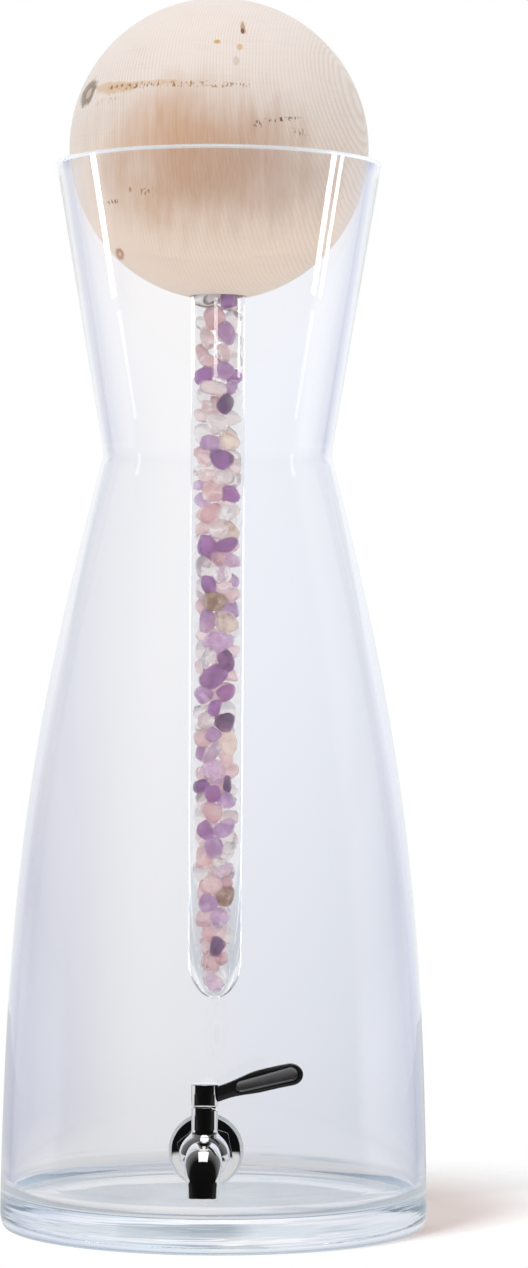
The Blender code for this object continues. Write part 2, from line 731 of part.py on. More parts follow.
def build_valve():
    """Turning plug with its cross port and stem, its two seal rings and the gland that keeps it in."""
    upright = valve_frame()
    pivot = upright.to_translation()
    plug_radius = VALVE_BORE - SEAT_GAP
    bottom = -VALVE_POCKET + SEAT_GAP
    ring_reach = plug_radius - RING_TUBE
    floor = ring_reach - RING_TUBE - SEAT_GAP
    half = RING_TUBE + SEAT_GAP
    top = PLUG_RISE
    stem_top = BARREL_RISE + SEAT_GAP + STEM_REACH
    outline = [(0.0, bottom), (plug_radius, bottom)]
    ring_levels = [RING_RISE, RING_RISE + 2.0 * half + MM]
    for level in ring_levels:
        outline += [
            (plug_radius, level - half),
            (floor, level - half),
            (floor, level + half),
            (plug_radius, level + half),
        ]
    outline += [(plug_radius, top), (STEM_RADIUS, top), (STEM_RADIUS, stem_top), (0.0, stem_top)]
    plug = turned("valve_plug", outline, SMALL_STEPS, upright)
    cross = upright @ Matrix.Rotation(0.5 * math.pi, 4, "Y")
    port = rod("port", PORT_RADIUS, -2.0 * VALVE_BORE, 2.0 * VALVE_BORE, 16, cross)
    combine(plug, port, "DIFFERENCE")
    settle(plug, (0.72, 0.62, 0.4), 0.25, 1.0, pivot)

    for name, level in zip(("plug_ring_lower", "plug_ring_upper"), ring_levels):
        seal = turned(name, ring_section(ring_reach, level, RING_TUBE), SMALL_STEPS, upright)
        settle(seal, (0.03, 0.03, 0.03), 0.6, 0.0, pivot, 60.0)

    low = top + SEAT_GAP
    high = low + GLAND_HEIGHT
    gland = ring("gland_ring", STEM_RADIUS + SEAT_GAP, plug_radius, low, high, 0.2 * MM, SMALL_STEPS, upright)
    settle(gland, (0.72, 0.62, 0.4), 0.3, 1.0)


def hub_base():
    """Height of the underside of the hub above the tap axis."""
    return BARREL_RISE + SEAT_GAP


def lever_frame():
    """Frame with its origin in the middle of the hub and local X along the rising lever."""
    lift = Matrix.Translation((0.0, 0.0, hub_base() + 0.5 * HUB_HEIGHT))
    return valve_frame() @ lift @ Matrix.Rotation(-math.radians(LEVER_RISE), 4, "Y")


def capsule(name, length, neck, tip, front, back, place):
    """Bar with round ends of two heights, standing across local Y between two depths."""
    turn = np.linspace(-0.5 * math.pi, 0.5 * math.pi, 9)
    right = [(0.5 * length - 0.5 * tip * (1.0 - math.cos(a)), 0.5 * tip * math.sin(a)) for a in turn]
    left = [(-0.5 * length + 0.5 * neck * (1.0 - math.cos(a)), -0.5 * neck * math.sin(a)) for a in turn]
    rings = [[place @ Vector((x, depth, z)) for x, z in right + left] for depth in (back, front)]
    return lofted(name, rings)


def grip_rings(place):
    """Rounded sections of the handle from its neck at the hub to its round tip."""
    start = 0.8 * HUB_RADIUS
    stations = [
        (start, 0.5 * GRIP_NECK_HEIGHT, 0.5 * GRIP_NECK_DEPTH),
        (GRIP_NECK_END, 0.5 * GRIP_NECK_HEIGHT, 0.5 * GRIP_NECK_DEPTH),
        (0.5 * (GRIP_NECK_END + GRIP_SHOULDER), 0.245 * (GRIP_NECK_HEIGHT + GRIP_HEIGHT), 0.48 * GRIP_DEPTH),
        (GRIP_SHOULDER, 0.5 * GRIP_HEIGHT, 0.5 * GRIP_DEPTH),
    ]
    for angle in np.linspace(0.0, 0.44 * math.pi, 5):
        ahead = GRIP_LENGTH - GRIP_TIP * (1.0 - math.sin(angle))
        width = math.cos(angle)
        stations.append((ahead, 0.5 * GRIP_HEIGHT * width, 0.5 * GRIP_DEPTH * (0.35 + 0.65 * width)))
    rings = []
    for ahead, tall, deep in stations:
        points = []
        bow = GRIP_BOW * ((ahead - GRIP_SHOULDER) / (GRIP_SHOULDER - HUB_RADIUS)) ** 2
        for turn in np.linspace(0.0, 2.0 * math.pi, 16, endpoint=False):
            side = math.copysign(abs(math.cos(turn)) ** 0.55, math.cos(turn))
            up = math.copysign(abs(math.sin(turn)) ** 0.7, math.sin(turn))
            points.append(place @ Vector((ahead, deep * side, tall * up - bow)))
        rings.append(points)
    return rings


def build_lever():
    """Hub with its stop lug and set screw, the arm, the black grip and the grey inlay in its recess."""
    upright = valve_frame()
    pivot = upright.to_translation()
    place = lever_frame()
    low = hub_base()
    top = low + HUB_HEIGHT
    outline = [
        (0.0, low),
        (HUB_RADIUS - 0.4 * MM, low),
        (HUB_RADIUS, low + 0.4 * MM),
        (HUB_RADIUS, top - HUB_EDGE),
        (HUB_RADIUS - 0.3 * HUB_EDGE, top - 0.3 * HUB_EDGE),
        (HUB_RADIUS - HUB_EDGE, top),
        (0.0, top),
    ]
    hub = turned("lever_hub", outline, ROUND_STEPS, upright)
    lug_low = BARREL_RISE - NOTCH_DEPTH + SEAT_GAP
    inner = VALVE_BORE + SEAT_GAP
    lug = sector(
        "lug", inner, BARREL_RADIUS, lug_low, low + MM, 0.5 * LEVER_SWEEP, LUG_SPAN, 3, upright
    )
    combine(hub, lug, "UNION")
    socket = rod("socket", STEM_RADIUS + SEAT_GAP, low - MM, low + STEM_REACH + SEAT_GAP, SMALL_STEPS, upright)
    combine(hub, socket, "DIFFERENCE")
    along = place @ Matrix.Rotation(0.5 * math.pi, 4, "Y")
    slot = rod("slot", ARM_RADIUS + SEAT_GAP, ARM_START - SEAT_GAP, HUB_RADIUS + 4.0 * MM, SMALL_STEPS, along)
    combine(hub, slot, "DIFFERENCE")
    level = Matrix.Translation((0.0, 0.0, low + 0.42 * HUB_HEIGHT))
    behind = upright @ level @ Matrix.Rotation(-0.5 * math.pi, 4, "X")
    screw_start = STEM_RADIUS + 2.0 * SEAT_GAP
    tapped = rod("tapped", SCREW_RADIUS + SEAT_GAP, 0.5 * STEM_RADIUS, HUB_RADIUS + MM, 12, behind)
    combine(hub, tapped, "DIFFERENCE")
    settle(hub, (0.76, 0.76, 0.77), 0.1, 1.0, pivot)

    screw = rod("hub_screw", SCREW_RADIUS, screw_start, screw_start + SCREW_LENGTH, 12, behind)
    hexagon = screw_start + 0.5 * SCREW_LENGTH
    key = rod("key", 0.5 * SCREW_RADIUS, hexagon, screw_start + SCREW_LENGTH + MM, 6, behind)
    combine(screw, key, "DIFFERENCE")
    settle(screw, (0.2, 0.2, 0.21), 0.35, 1.0, pivot)

    arm = rod("lever_arm", ARM_RADIUS, ARM_START, ARM_END, 16, along)
    settle(arm, (0.7, 0.7, 0.71), 0.25, 1.0, pivot)

    grip = lofted("lever_grip", grip_rings(place))
    round_hub = rod("round_hub", HUB_RADIUS + SEAT_GAP, low - HUB_HEIGHT, top + HUB_HEIGHT, ROUND_STEPS, upright)
    combine(grip, round_hub, "DIFFERENCE")
    bore = rod("bore", ARM_RADIUS + SEAT_GAP, 0.5 * HUB_RADIUS, ARM_END + SEAT_GAP, 16, along)
    combine(grip, bore, "DIFFERENCE")
    middle = place @ Matrix.Translation((RECESS_MIDDLE, 0.0, 0.0))
    face = -0.5 * GRIP_DEPTH
    heights = (RECESS_NECK_HEIGHT, RECESS_TIP_HEIGHT)
    recess = capsule("recess", RECESS_LENGTH, *heights, face - 2.0 * MM, face + RECESS_DEPTH, middle)
    combine(grip, recess, "DIFFERENCE")
    settle(grip, (0.02, 0.02, 0.022), 0.25, 0.0, pivot, 40.0)

    back = face + RECESS_DEPTH - SEAT_GAP
    trim = 2.0 * SEAT_GAP
    heights = (RECESS_NECK_HEIGHT - trim, RECESS_TIP_HEIGHT - trim)
    inlay = capsule("grip_inlay", RECESS_LENGTH - trim, *heights, back - INLAY_THICKNESS, back, middle)
    settle(inlay, (0.12, 0.12, 0.125), 0.4, 0.0, pivot)


def main():
    """Build every piece of the dispenser."""
    clear_scene()
    build_carafe()
    build_fixings()
    build_tap_body()
    build_valve()
    build_lever()
    build_ball()
    build_vial()
    build_stones()


main()
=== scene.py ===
"""Looks of a glass water dispenser: carafe, wooden ball stopper, vial of stones and chrome lever tap.

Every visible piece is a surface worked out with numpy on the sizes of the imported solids. Metres, +Z up,
with the origin in the middle of the underside of the glass and the tap towards -Y.
"""

import logging
import math
from dataclasses import dataclass
from enum import Enum
from typing import Callable, Optional, Sequence, Union

import bpy
import numpy as np
from mathutils import Matrix, Vector


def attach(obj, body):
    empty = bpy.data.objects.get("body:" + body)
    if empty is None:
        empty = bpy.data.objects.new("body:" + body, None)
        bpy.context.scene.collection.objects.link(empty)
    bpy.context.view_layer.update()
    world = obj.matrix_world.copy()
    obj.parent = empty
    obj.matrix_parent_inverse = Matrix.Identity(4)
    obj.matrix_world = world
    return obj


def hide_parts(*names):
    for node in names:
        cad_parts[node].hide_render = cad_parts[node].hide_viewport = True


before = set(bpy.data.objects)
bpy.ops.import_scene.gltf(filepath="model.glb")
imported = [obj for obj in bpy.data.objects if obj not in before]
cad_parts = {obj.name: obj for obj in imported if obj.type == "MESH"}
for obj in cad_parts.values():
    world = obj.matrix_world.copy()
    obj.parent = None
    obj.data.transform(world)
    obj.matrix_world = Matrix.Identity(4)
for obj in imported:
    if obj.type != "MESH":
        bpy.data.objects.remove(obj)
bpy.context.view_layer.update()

LOG = logging.getLogger("water_dispenser")
Array = np.ndarray
Colour = tuple[float, float, float]
Pair = tuple[float, float]
Stops = tuple[Pair, ...]
Place = Callable[[Array], Array]
Piece = bpy.types.Object
Material = bpy.types.Material
Socket = bpy.types.NodeSocket
Outputs = bpy.types.bpy_prop_collection
Feed = Union[Socket, float, Colour]

MM = 0.001
QUARTER_TURN = 0.5 * math.pi
FULL_TURN = 2.0 * math.pi
ON_AXIS = 1e-9
MOST_EASE = 0.49
MOST_MIRRORS = 3.5
WHITE = (1.0, 1.0, 1.0)


class Body(Enum):
    """Rigid bodies that the pieces ride on."""

    CARAFE = "carafe"
    LEVER = "lever"
    STOPPER = "stopper"


class Slot(Enum):
    """Material slots of the record, one named for each kind of new piece."""

    CARAFE_GLASS = "carafe_glass"
    VIAL_GLASS = "vial_glass"
    STONE_PINE = "stone_pine"
    CHROME = "chrome"
    STEEL = "steel"
    SILICONE = "silicone"
    BLACK_PLASTIC = "black_plastic"
    GREY_PLASTIC = "grey_plastic"
    AMETHYST = "amethyst"
    ROSE_QUARTZ = "rose_quartz"
    ROCK_CRYSTAL = "rock_crystal"
    SMOKY_QUARTZ = "smoky_quartz"


class Join(Enum):
    """Ways to combine two closed pieces."""

    UNITE = "UNION"
    CUT = "DIFFERENCE"


class Lit(Enum):
    """Sets of objects that some lamps light alone."""

    TABLE = "lit_by_table_key"
    GLASS = "lit_by_strips"
    VIAL = "lit_by_vial_strips"
    STONES = "lit_by_stone_strips"


def new_object(name: str, data: bpy.types.ID) -> Piece:
    """Add an object to the scene."""
    made = bpy.data.objects.new(name, data)
    bpy.context.scene.collection.objects.link(made)
    return made


def crisp(piece: Piece, sharp: float) -> None:
    """Shade a piece smooth with crisp edges where it turns by more than an angle in degrees."""
    piece.data.shade_smooth()
    piece.data.set_sharp_from_angle(angle=math.radians(sharp))


class Shell:
    """Closed surface gathered from grids of points whose columns run round."""

    def __init__(self) -> None:
        """Start with no points."""
        self._points: list[Array] = []
        self._faces: list[Array] = []
        self._count = 0

    def _take(self, points: Array) -> int:
        """Store points and return the index of the first."""
        start = self._count
        flat = np.asarray(points, dtype=float).reshape(-1, 3)
        self._points.append(flat)
        self._count += len(flat)
        return start

    def add(self, grid: Array, poles: Optional[Array] = None) -> "Shell":
        """Add a grid: each cell is a quad between neighbouring rows and columns.

        Args:
            grid: Points as rows by columns by 3, the columns closed on themselves.
            poles: Points that close the first and the last row as fans; without them these rows join.

        Returns:
            This shell.
        """
        rows, columns = grid.shape[:2]
        start = self._take(grid)
        row = np.arange(rows if poles is None else rows - 1)[:, None]
        column = np.arange(columns)[None, :]
        below, ahead = (row + 1) % rows, (column + 1) % columns
        ways = ((row, column), (row, ahead), (below, ahead), (below, column))
        corners = np.broadcast_arrays(*(line * columns + spot for line, spot in ways))
        self._faces.append(np.stack(corners, axis=-1).reshape(-1, 4) + start)
        for pole, edge, step in zip(() if poles is None else poles, (0, rows - 1), (-1, 1)):
            tip = self._take(pole)
            ring = start + edge * columns + np.arange(columns)
            fan = np.stack([ring, np.roll(ring, -1), np.full(columns, tip)], axis=1)
            self._faces.append(fan[:, ::step])
        return self

    def volume(self) -> float:
        """Signed volume: the sum of the tetrahedra from the origin to each face."""
        points = np.concatenate(self._points)
        total = 0.0
        for faces in self._faces:
            for step in range(1, faces.shape[1] - 1):
                a, b, c = (points[faces[:, k]] for k in (0, step, step + 1))
                total += float(np.einsum("ij,ij->i", a, np.cross(b, c)).sum()) / 6.0
        return total

    def piece(self, name: str, sharp: float = 40.0) -> Piece:
        """Make a smooth-shaded object with outward faces.

        Args:
            name: Name of the piece.
            sharp: Edges steeper than this many degrees stay crisp.

        Returns:
            The new object.
        """
        step = -1 if self.volume() < 0.0 else 1
        faces = [face for group in self._faces for face in group[:, ::step].tolist()]
        mesh = bpy.data.meshes.new(name)
        mesh.from_pydata(np.concatenate(self._points).tolist(), [], faces)
        made = new_object(name, mesh)
        crisp(made, sharp)
        return made


def as_is(points: Array) -> Array:
    """Leave points where they are."""
    return points


def full_turn(steps: int) -> Array:
    """Even directions round a full turn."""
    return np.linspace(0.0, FULL_TURN, steps, endpoint=False)


def quarter_turn(steps: int) -> Array:
    """Even directions from 0 to a quarter turn."""
    return np.linspace(0.0, QUARTER_TURN, steps)


def smooth(share: Array) -> Array:
    """Share from 0 to 1 that starts and ends gently, as 3 s ** 2 - 2 s ** 3."""
    return share * share * (3.0 - 2.0 * share)


def pairs(first: Array, second: Array) -> Array:
    """Points of a line from its two coordinates."""
    return np.stack([first, second], axis=1)


def rings(radius: Array, turn: Array, height: Array) -> Array:
    """Points about local Z: each row has its radius and height, each column its direction."""
    return np.stack(np.broadcast_arrays(radius * np.cos(turn), radius * np.sin(turn), height), axis=-1)


def turned(profile: Array, steps: int, place: Place = as_is) -> Shell:
    """Surface of revolution: (radius, height) carried round Z; ends on the axis close as poles.

    Args:
        profile: Points of the half section.
        steps: Number of columns round the axis.
        place: Moves the finished points.

    Returns:
        A closed shell.
    """
    grid = rings(profile[:, :1], full_turn(steps), profile[:, 1:])
    if profile[0, 0] > ON_AXIS:
        return Shell().add(place(grid))
    ends = np.array([[0.0, 0.0, profile[k, 1]] for k in (0, -1)])
    return Shell().add(place(grid[1:-1]), place(ends))


def round_bar(radius: float, low: float, high: float, place: Place, steps: int = 48) -> Piece:
    """Build a plain round bar about local Z."""
    section = np.array([[0.0, low], [radius, low], [radius, high], [0.0, high]])
    return turned(section, steps, place).piece("bar")


def rounded(corners: Sequence[Colour], steps: int = 6) -> Array:
    """Line through corners with each corner eased by a curve that leaves and joins its edges smoothly.

    Args:
        corners: Each corner as (first, second, length of edge that its curve takes).
        steps: Points on each curve.

    Returns:
        Points of the line.
    """
    share = np.linspace(0.0, 1.0, steps)[:, None]
    spots = np.array([corner[:2] for corner in corners])
    points: list[Array] = []
    for index, (spot, corner) in enumerate(zip(spots, corners)):
        if corner[2] <= 0.0 or index in (0, len(spots) - 1):
            points.append(spot[None, :])
            continue
        edges = spots[index - 1] - spot, spots[index + 1] - spot
        sizes = [np.linalg.norm(edge) for edge in edges]
        leave, meet = (
            spot + edge / size * min(corner[2], MOST_EASE * size) for edge, size in zip(edges, sizes)
        )
        points.append((1 - share) ** 2 * leave + 2 * share * (1 - share) * spot + share**2 * meet)
    return np.concatenate(points)


def combine(target: Piece, tool: Piece, join: Join) -> None:
    """Unite or cut the target with a tool piece, which is used up."""
    change = target.modifiers.new("change", "BOOLEAN")
    change.operation = join.value
    change.solver = "EXACT"
    change.object = tool
    graph = bpy.context.evaluated_depsgraph_get()
    graph.update()
    mesh = bpy.data.meshes.new_from_object(target.evaluated_get(graph))
    target.modifiers.clear()
    target.data = mesh
    bpy.data.objects.remove(tool, do_unlink=True)


class NodeKit:
    """Helpers that add nodes to a tree and join them."""

    def __init__(self, tree: bpy.types.NodeTree) -> None:
        """Work on a tree."""
        self.tree = tree

    def node(self, kind: str, values: Optional[dict] = None, **settings: object) -> bpy.types.Node:
        """Add a node; values are numbers or sockets for its inputs, settings are its own properties."""
        made = self.tree.nodes.new("ShaderNode" + kind)
        for name, value in settings.items():
            setattr(made, name, value)
        for key, value in (values or {}).items():
            self.feed(made.inputs[key], value)
        return made

    def feed(self, socket: Socket, value: Feed) -> None:
        """Link a socket, or set its own value."""
        if isinstance(value, Socket):
            self.tree.links.new(value, socket)
        elif isinstance(value, tuple) and len(value) == 3 and socket.type == "RGBA":
            socket.default_value = (*value, 1.0)
        else:
            socket.default_value = value

    def calc(self, kind: str, first: Feed, second: Feed = 0.0) -> Socket:
        """Result of a Math node."""
        return self.node("Math", {0: first, 1: second}, operation=kind).outputs[0]

    def plus(self, first: Feed, second: Feed) -> Socket:
        """Sum of two values."""
        return self.calc("ADD", first, second)

    def times(self, first: Feed, second: Feed) -> Socket:
        """Product of two values."""
        return self.calc("MULTIPLY", first, second)

    def most(self, first: Feed, second: Feed) -> Socket:
        """The larger of two values."""
        return self.calc("MAXIMUM", first, second)

    def above(self, value: Feed, limit: float) -> Socket:
        """One where a value is over a limit, else nought."""
        return self.calc("GREATER_THAN", value, limit)

    def vector(self, kind: str, first: Feed, second: Feed = (0.0, 0.0, 0.0)) -> Socket:
        """Result of a Vector Math node: a number for a length, a distance or a dot product, else a vector."""
        made = self.node("VectorMath", {0: first, 1: second}, operation=kind)
        return made.outputs["Value" if kind in ("LENGTH", "DISTANCE", "DOT_PRODUCT") else "Vector"]

    def axes(self, where: Socket) -> tuple[Socket, ...]:
        """The X, the Y and the Z of a vector."""
        return tuple(self.node("SeparateXYZ", {0: where}).outputs)

    def noise(self, where: Socket, scale: Union[float, Colour], detail: float, rough: float = 0.5) -> Socket:
        """Value of a noise texture, whose scale may differ along X, Y and Z."""
        if isinstance(scale, tuple):
            where, scale = self.vector("MULTIPLY", where, scale), 1.0
        values = {"Vector": where, "Scale": scale, "Detail": detail, "Roughness": rough}
        return self.node("TexNoise", values).outputs[0]

    def span(
        self, value: Feed, low: float, high: float, start: float = 0.0, end: float = 1.0, kind: str = "LINEAR"
    ) -> Socket:
        """Map a range to another, held at its ends."""
        values = {0: value, 1: low, 2: high, 3: start, 4: end}
        return self.node("MapRange", values, interpolation_type=kind).outputs[0]

    def ramp(self, value: Feed, stops: Sequence[tuple[float, Union[float, Colour]]]) -> Socket:
        """Colour that follows a value through stops, where a number stands for a grey."""
        made = self.node("ValToRGB", {0: value})
        points = made.color_ramp.elements
        while len(points) < len(stops):
            points.new(1.0)
        for point, (position, tone) in zip(points, stops):
            point.position = position
            point.color = (*(tone if isinstance(tone, tuple) else (tone,) * 3), 1.0)
        return made.outputs[0]

    def mix(self, share: Feed, first: Feed, second: Feed, kind: str = "MIX") -> Socket:
        """Blend of two colours."""
        return self.node("Mix", {0: share, 6: first, 7: second}, data_type="RGBA", blend_type=kind).outputs[2]


class Recipe(NodeKit):
    """Node material under construction, on Object coordinates."""

    def __init__(self, name: str) -> None:
        """Start an empty material."""
        self.material = bpy.data.materials.new(name)
        self.material.use_nodes = True
        super().__init__(self.material.node_tree)
        self.tree.nodes.clear()
        self.output = self.tree.nodes.new("ShaderNodeOutputMaterial")
        self.space = self.tree.nodes.new("ShaderNodeTexCoord").outputs["Object"]

    def bump(self, height: Feed, depth: float) -> Socket:
        """Normal bent by a height of a given depth in metres."""
        return self.node("Bump", {"Height": height, "Distance": depth, "Strength": 1.0}).outputs[0]

    def oval(self, where: Socket, middle: Colour, half: Colour, tilt: float = 0.0) -> Socket:
        """Distance from the middle of an oval, 1 on its edge; it is tilted about Y by an angle in degrees."""
        turn = (0.0, -math.radians(tilt), 0.0)
        values = {"Vector": where, "Location": middle, "Rotation": turn, "Scale": half}
        return self.vector("LENGTH", self.node("Mapping", values, vector_type="TEXTURE").outputs[0])

    def show(self, shader: Socket) -> None:
        """Join a shader to the output."""
        self.tree.links.new(shader, self.output.inputs["Surface"])

    def blend(self, share: Feed, first: Socket, second: Socket) -> Socket:
        """Blend of two shaders."""
        return self.node("MixShader", {0: share, 1: first, 2: second}).outputs[0]

    def surface(self, values: dict) -> Socket:
        """Principled shader joined to the output."""
        shader = self.node("BsdfPrincipled", values).outputs[0]
        self.show(shader)
        return shader

    def let_lamps_through(self, shader: Socket, tint: Feed, depth: float, lost: Feed) -> None:
        """Let lamp rays, bounces of matt surfaces and rays bent many times pass a clear shader unbent.

        Args:
            shader: The clear shader.
            tint: Colour of what passes.
            depth: Number of bends and reflections after which a ray passes unbent.
            lost: Colour of what passes after the most reflections.
        """
        path = self.node("LightPath").outputs
        trapped = self.above(path["Glossy Depth"], MOST_MIRRORS)
        film = self.node("BsdfTransparent", {"Color": self.mix(trapped, tint, lost)}).outputs[0]
        passes = self.most(path["Is Shadow Ray"], path["Is Diffuse Ray"])
        passes = self.most(passes, self.most(self.above(path["Ray Depth"], depth), trapped))
        self.show(self.blend(passes, shader, film))


@dataclass(frozen=True)
class ClearGlass:
    """Clear glass with the faint ripple of a blown wall, a painted highlight along the lip, flat cords in a
    solid foot and painted shade along the bottom edge of the foot.
    """

    name: str
    tint: Colour
    lamp_tint: Colour
    foot_tint: Colour
    lost_tint: Colour
    ripple: float
    # lip: height of the middle of the painted highlight along the lip.
    lip: float
    bends: float
    # Colour, half height and clearness of the painted highlight along the lip.
    lip_highlight_tint: Colour = (0.80, 0.86, 0.92)
    lip_highlight_half: float = 0.15 * MM
    lip_highlight_clear: float = 0.35
    swell_scale: Colour = (9.0, 9.0, 3.0)
    # Colour of the cords and of the painted shade along the bottom edge of the foot.
    cord_and_edge_shade_tint: Colour = (0.52, 0.61, 0.68)
    cord_scale: Colour = (16.0, 16.0, 380.0)
    cord_edge: Pair = (0.56, 0.66)
    cord_strength: float = 0.8
    cord_swell: float = 0.35
    cord_heights: Pair = (12.0 * MM, 27.0 * MM)
    cord_and_edge_shade_radii: Pair = (90.0 * MM, 94.0 * MM)
    edge_shade_heights: Pair = (1.2 * MM, 3.2 * MM)
    foot_heights: Pair = (40.0 * MM, 95.0 * MM)
    refraction: float = 1.5

    def make(self) -> Material:
        """Build the material."""
        recipe = Recipe(self.name)
        height = recipe.axes(recipe.space)[2]
        radius = recipe.vector("LENGTH", recipe.vector("MULTIPLY", recipe.space, (1.0, 1.0, 0.0)))
        cords = recipe.noise(recipe.space, self.cord_scale, 2.0)
        solid = recipe.span(height, *self.cord_heights, 1.0, 0.0)
        lines = recipe.times(recipe.span(cords, *self.cord_edge, 0.0, self.cord_strength), solid)
        # Painted shade: a blue-grey band along the bottom edge of the foot, joined to the cords and kept near
        # the outside.
        lines = recipe.most(lines, recipe.span(height, *self.edge_shade_heights, 1.0, 0.0))
        lines = recipe.times(lines, recipe.span(radius, *self.cord_and_edge_shade_radii))
        swell = recipe.noise(recipe.space, self.swell_scale, 1.0)
        swell = recipe.plus(swell, recipe.times(cords, recipe.times(solid, self.cord_swell)))
        # Painted highlight: a pale, less clear band round the lip stands in for the light that the rounded
        # lip catches.
        lip_highlight = recipe.span(height, self.lip - self.lip_highlight_half, self.lip + self.lip_highlight_half)
        shader = recipe.surface(
            {
                "Base Color": recipe.mix(lip_highlight, recipe.mix(lines, self.tint, self.cord_and_edge_shade_tint), self.lip_highlight_tint),
                "Roughness": 0.0,
                "IOR": self.refraction,
                "Transmission Weight": recipe.span(lip_highlight, 0.0, 1.0, 1.0, self.lip_highlight_clear),
                "Normal": recipe.bump(swell, self.ripple),
            }
        )
        foot = recipe.span(height, *self.foot_heights, 1.0, 0.0)
        foot = recipe.times(foot, recipe.node("LightPath").outputs["Is Shadow Ray"])
        lamp_tint = recipe.mix(foot, self.lamp_tint, self.foot_tint)
        recipe.let_lamps_through(shader, lamp_tint, self.bends, self.lost_tint)
        return recipe.material


@dataclass(frozen=True)
class WoodMark:
    """Mark on the front of the ball: middle and half sizes in millimetres from the middle of the ball."""

    right: float
    up: float
    half_width: float
    half_height: float
    colour: Colour
    strength: float
    dashes: bool = False
    tilt: float = 0.0


WOOD_MARKS = (
    WoodMark(-46.0, 22.6, 13.0, 2.9, (0.66, 0.38, 0.14), 0.55, False, -2.0),
    WoodMark(-30.0, 23.0, 17.0, 1.5, (0.66, 0.40, 0.18), 0.4),
    WoodMark(-49.0, 17.6, 7.0, 2.6, (0.56, 0.36, 0.16), 0.5, True, 12.0),
    WoodMark(-34.0, 22.4, 20.0, 1.7, (0.27, 0.11, 0.03), 0.95, True, -1.0),
    WoodMark(-4.0, 21.6, 25.0, 1.5, (0.40, 0.20, 0.07), 0.85, True, -1.0),
    WoodMark(-59.4, 22.4, 3.7, 7.2, (0.07, 0.045, 0.03), 0.95, False, -24.0),
    WoodMark(-59.4, 22.4, 2.8, 5.7, (0.46, 0.32, 0.23), 0.85, False, -24.0),
    WoodMark(-59.3, 22.2, 2.0, 4.3, (0.12, 0.075, 0.05), 0.85, False, -24.0),
    WoodMark(-59.2, 22.0, 1.4, 3.3, (0.62, 0.47, 0.38), 0.9, False, -24.0),
    WoodMark(12.3, 49.9, 1.2, 3.6, (0.48, 0.25, 0.10), 0.85, False, 8.0),
    WoodMark(12.1, 48.0, 0.8, 1.6, (0.12, 0.04, 0.03), 0.9),
    WoodMark(0.7, 42.3, 1.5, 1.0, (0.62, 0.33, 0.10), 0.9),
    WoodMark(11.2, 39.8, 1.4, 1.8, (0.68, 0.42, 0.18), 0.8),
    WoodMark(9.6, 32.8, 1.6, 2.6, (0.56, 0.36, 0.27), 0.4),
    WoodMark(29.0, 6.0, 11.0, 1.1, (0.18, 0.08, 0.04), 0.95, True, 8.0),
    WoodMark(38.6, 1.0, 4.0, 2.2, (0.26, 0.13, 0.06), 0.9, True, -8.0),
    WoodMark(20.0, 3.4, 2.4, 1.9, (0.28, 0.14, 0.07), 0.9, True),
    WoodMark(-46.4, -29.6, 4.8, 1.2, (0.30, 0.16, 0.06), 0.95, True, 9.0),
    WoodMark(-29.4, -26.2, 4.2, 2.0, (0.34, 0.18, 0.07), 0.9, True),
    WoodMark(-37.3, -24.6, 0.6, 1.2, (0.42, 0.23, 0.08), 0.8),
    WoodMark(-44.7, -50.6, 2.4, 2.6, (0.50, 0.19, 0.07), 0.95, False, 40.0),
    WoodMark(-44.6, -50.6, 0.8, 1.0, (0.76, 0.55, 0.40), 0.9, False, 40.0),
)


